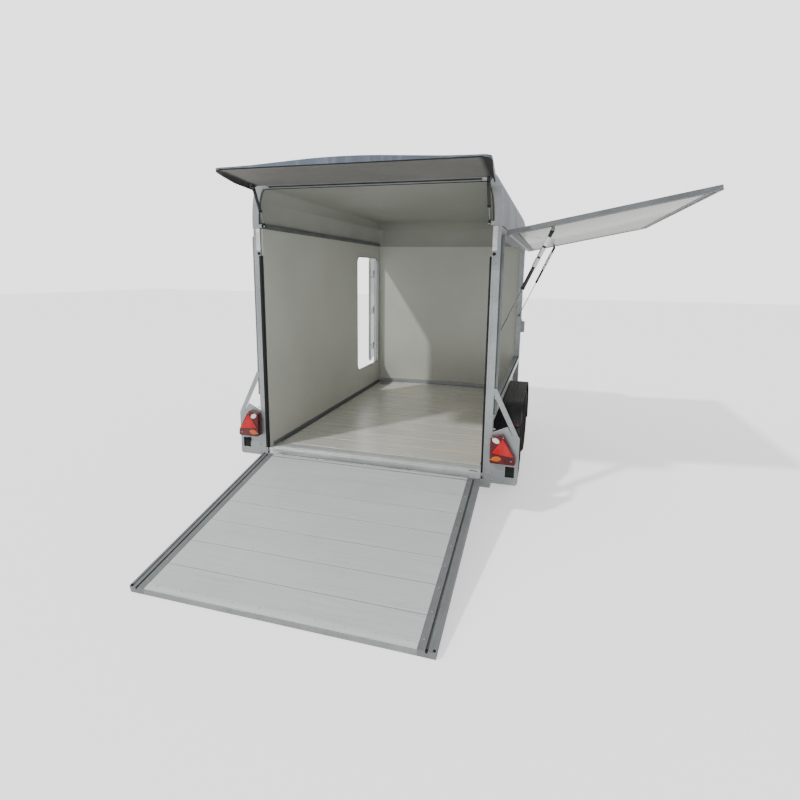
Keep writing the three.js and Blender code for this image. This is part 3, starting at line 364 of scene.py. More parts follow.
laminateSettings = {"base": (0.42, 0.43, 0.38), "pale": (0.49, 0.50, 0.445), "warm": (0.50, 0.49, 0.41),
                    "dirt": 0.14, "rough": 0.30, "coat": 0.35, "scuff": (0.42, 0.42, 0.38), "scuffed": 0.25,
                    "grime": (0.36, 0.36, 0.31), "lowBandHeight": 0.35, "lowBandDarkening": 0.3, "coatRough": 0.12}
laminate = laminateFinish("laminate", laminateSettings)
# a darker copy of the laminate for the ceiling: painted shade
shadedRoofLining = laminateFinish("roof_lining_painted_shade", dict(laminateSettings, base=(0.24, 0.25, 0.22),
                                                pale=(0.30, 0.31, 0.275), warm=(0.31, 0.31, 0.26), coat=0.1,
                                                rough=0.45))
flapPanel = laminateFinish("flap_panel", dict(laminateSettings, base=(0.40, 0.41, 0.35),
                                              pale=(0.50, 0.51, 0.45), coat=0.5, rough=0.22))


def gelcoatFinish(name, s):
    # glossy polyester: rain streaks down its sides, a fine orange peel, and painted shade towards its side
    # edges
    made, tree, shader, point = startMaterial(name)
    streaks = noise(tree, stretched(tree, point, (9, 9, 0.8)), 2.2, 5, 0.65)
    cloud = noise(tree, point, 1.1, 3)
    peel = noise(tree, point, 90, 2)
    dirt = useGroup(tree, grimeGroup, {"Point": point, "Scale": 3.0, "Strength": 0.3})["Mask"]
    colour = mixColour(tree, spread(tree, cloud, 0.3, 0.7), s["base"], s["pale"])
    colour = mixColour(tree, spread(tree, streaks, 0.5, 0.72, 0.0, 0.4), colour, s["streak"])
    colour = mixColour(tree, dirt, colour, s["grime"])
    # painted shade: near black beyond the rim distance from the centre line, standing for the shaded cheeks
    # of the canopy
    across = addNode(tree, "ShaderNodeSeparateXYZ", {0: point}).outputs["X"]
    offset = maths(tree, "ABSOLUTE", maths(tree, "SUBTRACT", across, midX))
    colour = mixColour(tree, spread(tree, offset, s["rim"], s["rim"] + 0.03, 0.0, s["shade"]), colour,
                       (0.012, 0.012, 0.012))
    rough = maths(tree, "ADD", spread(tree, streaks, 0.4, 0.7, s["rough"], s["rough"] + 0.2),
                  maths(tree, "MULTIPLY", dirt, 0.3))
    finishShader(tree, shader, colour, rough, peel, 0.00015)
    shader.inputs["Coat Weight"].default_value = s["coat"]
    shader.inputs["Coat Roughness"].default_value = 0.1
    shader.inputs["Specular IOR Level"].default_value = s["specular"]
    return made


roofGelcoat = gelcoatFinish("roof_gelcoat", {"base": (0.085, 0.108, 0.14), "pale": (0.125, 0.155, 0.195),
                                             "streak": (0.25, 0.28, 0.32), "grime": (0.1, 0.1, 0.1),
                                             "rough": 0.28, "rim": 2.0, "shade": 0.0, "coat": 0.08,
                                             "specular": 0.3})
# the canopy's underside, with painted shade in its cheeks beyond 0.735 from the centre line
canopyUnder = gelcoatFinish("canopy_under", {"base": (0.14, 0.138, 0.13), "pale": (0.18, 0.177, 0.167),
                                             "streak": (0.21, 0.207, 0.195), "grime": (0.05, 0.05, 0.045),
                                             "rough": 0.6, "rim": 0.735, "shade": 0.85, "coat": 0.0,
                                             "specular": 0.2})


def blackFinish(name, s):
    # moulded black plastic or rubber, dusty in its texture
    made, tree, shader, point = startMaterial(name)
    grain = noise(tree, point, s["grain"], 4, 0.7)
    dirt = useGroup(tree, grimeGroup, {"Point": point, "Scale": 5.0, "Strength": s["dust"]})["Mask"]
    edges = useGroup(tree, edgeGroup, {"Point": point, "Radius": 0.0015})
    colour = mixColour(tree, spread(tree, grain, 0.35, 0.65), s["dark"], s["light"])
    colour = mixColour(tree, edges["Mask"], colour, s["worn"])
    colour = mixColour(tree, dirt, colour, s["grime"])
    rough = maths(tree, "ADD", spread(tree, grain, 0.3, 0.7, s["rough"] - 0.06, s["rough"] + 0.08),
                  maths(tree, "MULTIPLY", dirt, 0.2))
    finishShader(tree, shader, colour, rough, grain, s["depth"], edges["Normal"])
    shader.inputs["Specular IOR Level"].default_value = s["specular"]
    return made


blackSettings = {"grain": 220.0, "dust": 0.2, "dark": (0.005, 0.005, 0.0055), "light": (0.014, 0.014, 0.015),
                 "worn": (0.045, 0.045, 0.045), "rough": 0.5, "depth": 0.0004, "specular": 0.25,
                 "grime": (0.075, 0.07, 0.063)}
blackPlastic = blackFinish("black_plastic", blackSettings)
rubber = blackFinish("rubber", dict(blackSettings, rough=0.75, grain=120.0, dark=(0.008, 0.008, 0.008)))
strutPaint = blackFinish("strut_paint", dict(blackSettings, rough=0.3, dust=0.1, grain=40.0, depth=0.0001,
                                             specular=0.5))
tyreRubber = blackFinish("tyre_rubber", dict(blackSettings, rough=0.78, grain=160.0, dust=0.6,
                                             light=(0.018, 0.0175, 0.0165)))


def rodFinish(s):
    # ground steel, with fine lines round it
    made, tree, shader, point = startMaterial("strut_chrome", s["metallic"])
    lines = noise(tree, stretched(tree, point, (30, 30, 4)), 12, 3)
    shade = spread(tree, lines, 0.3, 0.7)
    colour = mixColour(tree, shade, s["dark"], s["light"])
    finishShader(tree, shader, colour, spread(tree, lines, 0.3, 0.7, *s["rough"]), lines, 0.0001)
    return made


rodSettings = {"metallic": 1.0, "dark": (0.13, 0.135, 0.14), "light": (0.24, 0.245, 0.255),
               "rough": (0.1, 0.22)}


def rimFinish(s):
    # silver paint with a metal fleck, brake dust in its patches
    made, tree, shader, point = startMaterial("rim_paint", s["metallic"])
    fleck = noise(tree, point, 400, 2)
    dirt = useGroup(tree, grimeGroup, {"Point": point, "Scale": 7.0, "Strength": s["dirt"]})["Mask"]
    edges = useGroup(tree, edgeGroup, {"Point": point, "Radius": 0.002})
    colour = mixColour(tree, spread(tree, fleck, 0.4, 0.6), s["dark"], s["light"])
    colour = mixColour(tree, dirt, colour, s["grime"])
    finishShader(tree, shader, colour, spread(tree, dirt, 0, 1, *s["rough"]), fleck, 0.0001, edges["Normal"])
    return made


rimSettings = {"metallic": 0.4, "dirt": 0.9, "dark": (0.42, 0.43, 0.44), "light": (0.52, 0.53, 0.54),
               "grime": (0.12, 0.09, 0.07), "rough": (0.34, 0.7)}


def lensFinish(name, s):
    # a moulded lens: fine vertical flutes under a clear surface, with painted light and shade along the
    # flutes and a painted highlight at each cell's core
    made, tree, shader, point = startMaterial(name)
    flutes = addNode(tree, "ShaderNodeTexWave", {"Vector": point, "Scale": s["flutes"], "Distortion": 0.0},
                     bands_direction="X", wave_profile="SIN").outputs["Fac"]
    cells = addNode(tree, "ShaderNodeTexVoronoi", {"Vector": point, "Scale": s["cells"]}).outputs["Distance"]
    # painted light and shade along the flutes, and a painted highlight at the middle of each cell
    shade = maths(tree, "MULTIPLY", spread(tree, flutes, 0, 1, 0.6, 1.0),
                  spread(tree, cells, 0, 0.7, 1.0, 0.7))
    colour = mixColour(tree, shade, s["dark"], s["light"])
    dirt = useGroup(tree, grimeGroup, {"Point": point, "Scale": 12.0, "Strength": 0.3})["Mask"]
    colour = mixColour(tree, dirt, colour, (0.2, 0.14, 0.1))
    finishShader(tree, shader, colour, spread(tree, dirt, 0, 1, 0.12, 0.5), flutes, 0.0006)
    shader.inputs["Coat Weight"].default_value = 0.25
    shader.inputs["Coat Roughness"].default_value = 0.06
    shader.inputs["Specular IOR Level"].default_value = 0.3
    return made


strutRod = rodFinish(rodSettings)
rimPaint = rimFinish(rimSettings)
lampRed = lensFinish("lamp_red", {"dark": (0.022, 0.0004, 0.001), "light": (0.12, 0.0008, 0.003),
                                  "flutes": 55.0, "cells": 60.0})
reflectorRed = lensFinish("reflector_red", {"dark": (0.30, 0.0006, 0.003), "light": (0.58, 0.001, 0.009),
                                            "flutes": 5.0, "cells": 260.0})
lampAmber = lensFinish("lamp_amber", {"dark": (0.33, 0.05, 0.002), "light": (0.62, 0.13, 0.006),
                                      "flutes": 70.0, "cells": 60.0})
lampClear = lensFinish("lamp_clear", {"dark": (0.55, 0.56, 0.56), "light": (0.85, 0.86, 0.86),
                                      "flutes": 70.0, "cells": 80.0})
print("finishes ready")


# shapes are made in the body's own frame, or in a flap's, and finishPiece puts them in place
def addBox(bm, low, high, bevel=0.0, segments=2):
    made = bmesh.ops.create_cube(bm, size=1)["verts"]
    size = Vector(high) - Vector(low)
    bmesh.ops.scale(bm, verts=made, vec=size)
    bmesh.ops.translate(bm, verts=made, vec=(Vector(high) + Vector(low)) / 2)
    if bevel:
        edges = list({e for v in made for e in v.link_edges})
        bmesh.ops.bevel(bm, geom=edges, offset=bevel, segments=segments, profile=0.5, affect="EDGES",
                        material=-1)
    return made


def addBar(bm, start, end, radius, sides=16, tip=None):
    start, end = Vector(start), Vector(end)
    along = end - start
    turn = along.to_track_quat("Z", "Y").to_matrix().to_4x4()
    matrix = Matrix.Translation((start + end) / 2) @ turn
    return bmesh.ops.create_cone(bm, cap_ends=True, segments=sides, radius1=radius,
                                 radius2=radius if tip is None else tip, depth=along.length,
                                 matrix=matrix)["verts"]


def addTurned(bm, profile, steps, frameMatrix=Matrix()):
    # profile is [radius, height] points, closed on itself, turned about the frame's Z axis
    verts = [bm.verts.new((r, 0, z)) for r, z in profile]
    edges = [bm.edges.new((verts[i], verts[(i + 1) % len(verts)])) for i in range(len(verts))]
    before = set(bm.verts) - set(verts)
    bmesh.ops.spin(bm, geom=verts + edges, cent=(0, 0, 0), axis=(0, 0, 1), angle=2 * math.pi, steps=steps,
                   use_merge=True)
    made = [v for v in bm.verts if v not in before]
    bmesh.ops.transform(bm, matrix=frameMatrix, verts=made)
    return made


def addRing(bm, start, end, inner, outer, steps=20):
    # a short tube with a small bevel on its outer rims
    start, end = Vector(start), Vector(end)
    long = (end - start).length
    soft = min(0.0004, (outer - inner) / 3)
    profile = [(inner, 0), (outer - soft, 0), (outer, soft), (outer, long - soft), (outer - soft, long),
               (inner, long)]
    turn = (end - start).to_track_quat("Z", "Y").to_matrix().to_4x4()
    return addTurned(bm, profile, steps, Matrix.Translation(start) @ turn)


def addSwept(bm, outline, sweep):
    # outline is a closed loop of points, pushed along the sweep vector
    face = bm.faces.new([bm.verts.new(p) for p in outline])
    made = bmesh.ops.extrude_face_region(bm, geom=[face])["geom"]
    tops = [v for v in made if isinstance(v, bmesh.types.BMVert)]
    bmesh.ops.translate(bm, verts=tops, vec=sweep)
    return list(face.verts) + tops


def addPipe(bm, points, radius, sides=10):
    # a round section carried along a line of points
    points = [Vector(p) for p in points]
    turn = (points[1] - points[0]).to_track_quat("Z", "Y").to_matrix().to_4x4()
    ring = bmesh.ops.create_circle(bm, cap_ends=True, segments=sides, radius=radius,
                                   matrix=Matrix.Translation(points[0]) @ turn)["verts"]
    face = ring[0].link_faces[0]
    heading = (points[1] - points[0]).normalized()
    made = list(ring)
    for i in range(1, len(points)):
        here = (points[i] - points[i - 1]).normalized()
        ahead = (points[min(i + 1, len(points) - 1)] - points[i])
        ahead = ahead.normalized() if ahead.length > 1e-9 else here
        face = extrudeCap(bm, face)
        verts = list(face.verts)
        centre = sum((v.co for v in verts), Vector()) / len(verts)
        bmesh.ops.translate(bm, verts=verts, vec=points[i] - centre)
        middle = (here + ahead).normalized()
        bend = heading.rotation_difference(middle).to_matrix().to_4x4()
        bmesh.ops.rotate(bm, verts=verts, cent=points[i], matrix=bend)
        heading = middle
        made += verts
    return made


def extrudeCap(bm, face):
    made = bmesh.ops.extrude_face_region(bm, geom=[face])["geom"]
    cap = [g for g in made if isinstance(g, bmesh.types.BMFace)][0]
    bmesh.ops.delete(bm, geom=[face], context="FACES_ONLY")
    return cap


def addScrew(bm, at, axis, radius=0.005):
    # a low domed head with a washer under it
    turn = Vector(axis).to_track_quat("Z", "Y").to_matrix().to_4x4()
    profile = [(axisGap, 0), (radius * 1.5, 0), (radius * 1.5, radius * 0.2), (radius, radius * 0.25),
               (radius * 0.85, radius * 0.6), (radius * 0.4, radius * 0.75), (axisGap, radius * 0.78)]
    return addTurned(bm, profile, 12, Matrix.Translation(at) @ turn)


def finishPiece(name, bm, material, body, slotName, place=bodyShift, smooth=35):
    bmesh.ops.remove_doubles(bm, verts=bm.verts, dist=merge)
    bmesh.ops.recalc_face_normals(bm, faces=bm.faces)
    bmesh.ops.transform(bm, matrix=place, verts=bm.verts)
    mesh = bpy.data.meshes.new(name)
    bm.to_mesh(mesh)
    bm.free()
    piece = bpy.data.objects.new(name, mesh)
    bpy.context.scene.collection.objects.link(piece)
    for one in material if isinstance(material, (list, tuple)) else [material]:
        mesh.materials.append(one)
    mesh.shade_smooth()
    mesh.set_sharp_from_angle(angle=math.radians(smooth))
    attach(piece, body)
    return piece


def bodyOf(node):
    return nodes[node]["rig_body"]


def paintNode(node, material):
    node = nodes[node]
    node.data.materials.clear()
    node.data.materials.append(material)


def softCopy(node, name, materials, slotName, smooth=35, choose=None, bevel=0.0):
    # a merged, smooth-shaded stand-in for a node whose curves show as flats
    bm = bmesh.new()
    bm.from_mesh(nodes[node].data)
    bmesh.ops.remove_doubles(bm, verts=bm.verts, dist=1e-5)
    bmesh.ops.dissolve_limit(bm, angle_limit=math.radians(1), verts=bm.verts, edges=bm.edges)
    if bevel:
        sharp = [e for e in bm.edges if len(e.link_faces) == 2 and e.calc_face_angle(0) > math.radians(50)
                 and e.calc_length() > 4 * bevel]
        bmesh.ops.bevel(bm, geom=sharp, offset=bevel, segments=2, profile=0.5, affect="EDGES", material=-1)
    if choose:
        for face in bm.faces:
            face.material_index = choose(face)
    piece = finishPiece(name, bm, materials, bodyOf(node), slotName, Matrix(), smooth)
    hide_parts(node)
    return piece


def sides():
    return (("left", -1), ("right", 1))


def rowOf(start, end, count):
    return [start + (end - start) * i / (count - 1) for i in range(count)]


# nodes of the frame get a finish by the start or end of their names, whether or not a rounded piece replaces
# them
for name in nodes:
    if name.startswith(("side_member", "middle_beam", "front_beam", "rear_beam", "drawbar", "overrun", "axle",
                        "front_post", "rear_post", "eaves_rail", "lamp_bracket", "jockey")):
        paintNode(name, galvanised)
    elif name.startswith("ramp_rail"):
        paintNode(name, railZinc)
    elif name.startswith("wall") or name.startswith("side_sill"):
        paintNode(name, laminate)
    elif name.endswith("_tube"):
        paintNode(name, strutPaint)
    elif name.endswith("_rod"):
        paintNode(name, strutRod)
paintNode("floor", galvanisedDullAndShade)
paintNode("threshold", brightTrim)
print("frame finished")

boardSettings = {"width": 0.2, "seam": 0.0038, "rise": 0.0014, "round": 0.001, "bowCuts": 23,
                 "rampBoards": 7, "rampRear": 0.004, "rampFront": 0.026}


def bowAt(x):
    # the front wall's inner line, an arc through its middle and its corners
    radius = (innerX ** 2 + frontBow ** 2) / (2 * frontBow)
    return frontCorner + frontBow - radius + math.sqrt(radius ** 2 - x ** 2)


def makeFloorPlanks(s):
    bm = bmesh.new()
    start, half = thresholdEnd + sink, innerX - sink
    count = math.ceil((bowY - start) / s["width"])
    for i in range(count):
        low = start + i * s["width"]
        last = i == count - 1
        high = bowY if last else low + s["width"] - s["seam"]
        verts = addBox(bm, (-half, low, floorTop - sink), (half, high, floorTop + s["rise"]))
        if high > bowAt(half):  # follow the bowed front wall
            long = [e for e in bm.edges if abs(e.verts[0].co.y - e.verts[1].co.y) < merge
                    and abs(e.verts[0].co.x - e.verts[1].co.x) > half and e.verts[0].co.y > low - sink]
            bmesh.ops.subdivide_edges(bm, edges=long, cuts=s["bowCuts"], use_grid_fill=True)
            for v in bm.verts:
                v.co.y = min(v.co.y, bowAt(v.co.x) - 0.002)
        else:
            edges = [e for v in verts if v.co.z > floorTop for e in v.link_edges
                     if abs(e.verts[0].co.x - e.verts[1].co.x) > half]
            bmesh.ops.bevel(bm, geom=list(set(edges)), offset=s["round"], segments=1, profile=0.5,
                            affect="EDGES", material=-1)
    finishPiece("floor_planks", bm, floorPlank, "frame", "planks")


def makeRampPlanks(s):
    bm = bmesh.new()
    half = rampHalf - railWidth - sink
    rear, front = -rampLength + s["rampRear"], -s["rampFront"]
    width = (front - rear) / s["rampBoards"]
    for i in range(s["rampBoards"]):
        low = rear + i * width
        high = low + width - s["seam"]
        addBox(bm, (-half, low, rampTop - sink), (half, high, rampTop + s["rise"]), s["round"], 1)
    finishPiece("ramp_planks", bm, rampPlank, "ramp", "planks", rampFrame)


thresholdSettings = {"ribs": 6, "ribFrom": 0.008, "ribTo": 0.052, "ribHalf": 0.0016, "ticks": 96,
                     "tickHalf": 0.0035, "tickFrom": 0.070, "tickTo": 0.128, "set": 0.0005, "rise": 0.0010,
                     "slotFrom": 0.69, "slotTo": 0.74, "slotRear": 0.014, "slotFront": 0.024}


def makeThresholdRibs(s):
    # low ribs along the sill's top, cut by short cross grooves nearest the planks
    bm = bmesh.new()
    half = innerX - 0.004
    low, high = floorTop - s["set"], floorTop + s["rise"]
    for y in rowOf(s["ribFrom"], s["ribTo"], s["ribs"]):
        addBox(bm, (-half, y - s["ribHalf"], low), (half, y + s["ribHalf"], high), 0.0005, 1)
    for x in rowOf(-half + 0.01, half - 0.01, s["ticks"]):
        addBox(bm, (x - s["tickHalf"], s["tickFrom"], low), (x + s["tickHalf"], s["tickTo"], high - 0.0002))
    finishPiece("threshold_ribs", bm, brightTrim, "frame", "planks")
    bm = bmesh.new()  # black fill for the drain slot at the right end: painted shade in its opening
    x0, x1, y0, y1 = s["slotFrom"], s["slotTo"], s["slotRear"], s["slotFront"]
    addBox(bm, (x0, y0, floorTop - 0.002), (x1, y1, floorTop + 0.0014), 0.0004, 1)
    addBox(bm, (x0 + 0.005, y0 + 0.004, floorTop + sink), (x1 - 0.005, y1 - 0.004, floorTop + 0.0018))
    finishPiece("threshold_slot_shade", bm, rubber, "frame", "rubber")


makeFloorPlanks(boardSettings)
makeRampPlanks(boardSettings)
makeThresholdRibs(thresholdSettings)
paintNode("ramp_deck", galvanised)
print("planks laid")


def roofSide(face):
    # 1 on the inside of the shell
    middle = Vector((midX, rearY + 1.2, 1.6))
    return 1 if face.normal.dot(face.calc_center_median() - middle) < 0 else 0


def hoopShadedSide(face):
    # 1 on the arch's inner faces, which take the darker zinc as painted shade
    return 1 if face.normal.y > -0.5 and roofSide(face) else 0


softCopy("roof", "roof_shell", [roofGelcoat, shadedRoofLining], "gelcoat", 28, roofSide)
softCopy("rear_hoop", "rear_arch", [galvanised, galvanisedDullAndShade], "galvanised", 28, hoopShadedSide)


eavesSettings = {"start": 0.02, "set": 0.001, "rise": 0.033, "lap": 0.003, "reach": 0.0215,
                 "cutAcross": 0.004, "cutDown": 0.006}


def makeEavesTrims(s):
    # a dark extrusion along the top of each wall, under the lining
    for word, side in sides():
        bm = bmesh.new()
        low, high, y = eavesZ - s["set"], eavesZ + s["rise"], s["start"]
        near, far = innerX - s["lap"], innerX + s["reach"]
        outline = [(side * near, y, low), (side * far, y, low), (side * far, y, high),
                   (side * (near + s["cutAcross"]), y, high), (side * near, y, high - s["cutDown"])]
        addSwept(bm, outline, (0, frontY - y, 0))
        finishPiece("eaves_trim_" + word, bm, galvanisedDullAndShade, "frame", "galvanised")


archSettings = {"outset": 0.012, "below": 0.040, "across": 0.052, "down": 0.238, "steps": 9, "bulb": 0.0022,
                "y": 0.004, "footRise": 0.02, "headerHalf": 0.70, "headerBelow": 0.026}


def makeArchSeal(s):
    # a rubber bulb round the opening, and a lipped black strip under the canopy's hinge as its painted shadow
    bm = bmesh.new()
    half, top, across, down, y = innerX + s["outset"], roofTop - s["below"], s["across"], s["down"], s["y"]
    points = [(-half, y, eavesZ + s["footRise"])]
    for side, start in ((-1, math.pi), (1, math.pi / 2)):
        points += [(side * (half - across) + across * math.cos(a), y, top - down + down * math.sin(a))
                   for a in rowOf(start, start - math.pi / 2, s["steps"])]
    points.append((half, y, eavesZ + s["footRise"]))
    addPipe(bm, points, s["bulb"], 8)
    finishPiece("arch_seal", bm, rubber, "frame", "rubber")
    # black strip along the hinge line: painted shadow
    bm = bmesh.new()
    z, half = roofTop - s["headerBelow"], s["headerHalf"]
    addBox(bm, (-half, -0.003, z - 0.004), (half, 0.001, z + 0.001), 0.001, 1)
    addBox(bm, (-half, -0.006, z - 0.0035), (half, -0.002, z - 0.0015), 0.0005, 1)
    finishPiece("header_strip_painted_shadow", bm, rubber, "frame", "rubber")


makeEavesTrims(eavesSettings)
makeArchSeal(archSettings)

canopySettings = {"length": 0.40, "hingeHalf": 0.785, "tipHalf": 0.805, "strapHalf": 0.70,
                  "strapRear": 0.030, "strapFront": 0.009, "strapTop": 0.009, "screws": 12, "corner": 0.045,
                  "edging": 0.0035, "edgingStart": 0.28}


def canopySide(face):
    down = canopyFrame.to_3x3() @ Vector((0, 0, -1))
    return 1 if face.normal.dot(down) > 0.15 else 0


def makeCanopy(s):
    softCopy("canopy", "canopy_shell", [roofGelcoat, canopyUnder], "gelcoat", 32, canopySide)
    bm = bmesh.new()  # hinge strap along the rear edge of the arch, with its screws
    z, half, rear, front = s["strapTop"], s["strapHalf"], -s["strapRear"], -s["strapFront"]
    addBox(bm, (-half, rear, z - 0.001), (half, front, z + 0.0015), 0.0006, 1)
    for x in rowOf(0.04 - half, half - 0.04, s["screws"]):
        addScrew(bm, (x, rear + 0.011, z + 0.0015), (0, 0, 1), 0.004)
    finishPiece("canopy_hinge_strap", bm, galvanised, "canopy", "galvanised", canopyFrame)
    bm = bmesh.new()  # rubber edging round the free edge
    tip, corner, end = s["tipHalf"] - 0.002, s["corner"], -s["length"] + 0.002
    points = [(-s["hingeHalf"] - 0.012, -s["edgingStart"], -0.015), (-tip + 0.002, end + 0.11, -0.009)]
    points += [(-tip + corner - corner * math.cos(a), end + corner - corner * math.sin(a), -0.003)
               for a in rowOf(0.1, math.pi / 2, 5)]
    points += [(-x, y, z) for x, y, z in reversed(points)]
    addPipe(bm, points, s["edging"], 8)
    finishPiece("canopy_edging", bm, rubber, "canopy", "rubber", canopyFrame)


makeCanopy(canopySettings)
print("roof and canopy made")

postSettings = {"flangeFrom": 0.700, "flangeTo": 1.800, "flangeOut": 0.020, "collarFrom": 0.86,
                "collarTo": 0.95, "screwPitch": 0.19, "plateFrom": 1.707, "plateTo": 1.848,
                "bufferBelow": 0.020, "seal": {"left": (0.007, 0.026), "right": (0.002, 0.010)},
                "sealBelow": 0.035}


def makePostFlange(word, side, s):
    # the outer strip of the folded post, with its collars
    bm = bmesh.new()
    x = sorted((side * (postX + 0.0005), side * (postX + s["flangeOut"])))
    low, high = s["flangeFrom"], s["flangeTo"]
    addBox(bm, (x[0], 0.014, low), (x[1], 0.030, high), 0.002)
    addBox(bm, (x[0], 0.012, s["collarFrom"]), (x[1], 0.034, s["collarTo"]), 0.003)
    addBox(bm, (x[0], 0.012, low), (x[1], 0.034, low + 0.03), 0.003)
    finishPiece("post_flange_" + word, bm, galvanisedDullAndShade, "frame", "galvanised")


def makePostSealAndShade(word, side, s):
    # black rubber on the wall's rear end, with a lip; the wider strip on the left is partly painted shade on
    # the post's inner side
    bm = bmesh.new()
    # the left strip is wider than the right: painted shade on the left post's inner side
    near, far = s["seal"][word]
    low, high = floorTop + 0.002, s["plateFrom"] - s["sealBelow"]
    x = sorted((side * (innerX + near), side * (innerX + far)))
    addBox(bm, (x[0], -0.002, low), (x[1], 0.012, high), 0.002)
    lip = sorted((side * (innerX - 0.001), side * (innerX + near + 0.001)))
    addBox(bm, (lip[0], 0.002, low), (lip[1], 0.010, high), 0.0015)
    finishPiece("post_seal_and_shade_" + word, bm, rubber, "frame", "rubber")


def makePostScrews(word, side, s):
    # a row of screws, and the raised edge of the folded sheet beside them
    bm = bmesh.new()
    count = round((eavesZ - plinthZ - 0.2) / s["screwPitch"])
    for z in rowOf(plinthZ + 0.10, eavesZ - 0.22, count):
        addScrew(bm, (side * (wallX + 0.025), 0, z), (0, -1, 0), 0.0045)
    x = side * (wallX + 0.012)
    addBox(bm, (x - 0.0015, -0.0015, plinthZ + 0.02), (x + 0.0015, 0.001, s["plateFrom"] - 0.05), 0.0006, 1)
    finishPiece("post_screws_" + word, bm, galvanised, "frame", "galvanised")


def makeLatchPlate(word, side, s):
    # bright latch plate with a raised rib
    bm = bmesh.new()
    low, high = s["plateFrom"], s["plateTo"]
    x = sorted((side * (wallX + 0.001), side * (wallX + 0.029)))
    addBox(bm, (x[0], -0.0025, low), (x[1], 0.006, high), 0.001)
    rib = side * (wallX + 0.020)
    addBox(bm, (rib - 0.002, -0.0045, low + 0.01), (rib + 0.002, 0, high - 0.018), 0.001)
    for z in (low + 0.025, high - 0.033):
        addScrew(bm, (side * (wallX + 0.009), -0.0025, z), (0, -1, 0), 0.0035)
    finishPiece("latch_plate_" + word, bm, brightTrim, "frame", "galvanised")


def makeBuffer(word, side, s):
    # rubber stop under the latch plate
    bm = bmesh.new()
    at = Vector((side * (wallX + 0.013), 0, s["plateFrom"] - s["bufferBelow"]))
    addBar(bm, at + Vector((0, 0.002, 0)), at + Vector((0, -0.005, 0)), 0.011, 20, 0.009)
    addBar(bm, at + Vector((0, -0.003, 0)), at + Vector((0, -0.0065, 0)), 0.004, 12)
    finishPiece("rubber_buffer_" + word, bm, rubber, "frame", "rubber")


for word, side in sides():
    for makePart in (makePostFlange, makePostSealAndShade, makePostScrews, makeLatchPlate, makeBuffer):
        makePart(word, side, postSettings)


trimSettings = {"bowSteps": 16, "angleRise": 0.04, "angleReach": 0.03, "angleThick": 0.003,
                "footRise": 0.028, "footReach": 0.025, "footScrews": 12, "plateFrom": 0.06, "plateTo": 0.17,
                "sillStart": 0.052, "sillEnd": 0.03, "sillScrews": 10, "sealInset": 0.010, "seal": 0.0045}


def makeFrontAngle(s):
    # angle along the foot of the bowed front wall, in short straight lengths
    bm = bmesh.new()
    half, thick = innerX - 0.004, s["angleThick"]
    line = rowOf(-half, half, s["bowSteps"] + 1)
    for x0, x1 in zip(line, line[1:]):
        y0, y1 = bowAt(x0) - 0.0015, bowAt(x1) - 0.0015
        upright = [(0, 0), (-thick, 0), (-thick, s["angleRise"]), (0, s["angleRise"] + 0.002)]
        flat = [(0, 0), (-s["angleReach"], 0), (-s["angleReach"], thick), (0, thick)]
        for section in (upright, flat):
            addSwept(bm, [(x0, y0 + dy, floorTop + dz) for dy, dz in section], (x1 - x0, y1 - y0, 0))
    finishPiece("front_wall_angle", bm, galvanised, "frame", "galvanised")


def makeWallTrims(s):
    for word, side in sides():
        bm = bmesh.new()  # angle along the foot of the side wall
        x = sorted((side * (innerX - 0.003), side * innerX))
        foot = sorted((side * (innerX - s["footReach"]), side * innerX))
        addBox(bm, (x[0], 0.06, floorTop + sink), (x[1], frontY - 0.002, floorTop + s["footRise"]), 0.001)
        addBox(bm, (foot[0], 0.14, floorTop + sink), (foot[1], frontY - 0.002, floorTop + 0.004), 0.001)
        for y in rowOf(0.2, frontY - 0.1, s["footScrews"]):
            addScrew(bm, (side * (innerX - 0.003), y, floorTop + 0.017), (-side, 0, 0), 0.004)
        finishPiece("foot_angle_" + word, bm, galvanisedDullAndShade, "frame", "galvanised")
    bm = bmesh.new()  # small plate over a fixing at the front left corner of the floor
    top = floorTop + 0.008
    x0, x1 = -innerX + s["plateFrom"], -innerX + s["plateTo"]
    addBox(bm, (x0, frontY - 0.16, floorTop + sink), (x1, frontY - 0.06, top), 0.002)
    for x in (x0 + 0.025, x1 - 0.025):
        addScrew(bm, (x, frontY - 0.11, top), (0, 0, 1), 0.006)
    finishPiece("corner_plate", bm, galvanised, "frame", "galvanised")
    bm = bmesh.new()  # capping rail on the low right wall
    near, far, start, end = innerX - 0.002, postX - 0.0005, s["sillStart"], frontY - s["sillEnd"]
    addBox(bm, (near, start, sillTop - 0.0005), (far, end, sillTop + 0.003), 0.0012)
    addBox(bm, (near, start, sillTop - 0.03), (near + 0.0018, end, sillTop + 0.002), 0.0006, 1)
    for y in rowOf(0.15, frontY - 0.15, s["sillScrews"]):
        addScrew(bm, (innerX + 0.03, y, sillTop + 0.003), (0, 0, 1), 0.0045)
    finishPiece("sill_cap", bm, galvanised, "frame", "galvanised")
    bm = bmesh.new()  # rubber seal on the capping, for the side flap
    x, z = postX - s["sealInset"], sillTop + 0.005
    addPipe(bm, [(x, start + 0.008, z), (x, end - 0.01, z)], s["seal"], 8)
    finishPiece("sill_seal", bm, rubber, "frame", "rubber")


makeFrontAngle(trimSettings)
makeWallTrims(trimSettings)
print("rear frame and trims made")

rampSettings = {"plugLong": 0.016, "plugLow": -0.008, "plugRise": 0.0012, "groove": 0.040,
                "grooveHalf": 0.0055, "screws": 9, "screwInset": 0.062, "edge": 0.05, "edgeScrews": 10,
                "edgeRise": 0.0022, "stiffeners": 5, "stiffenerGap": 0.30, "stiffenerTop": -0.0105}


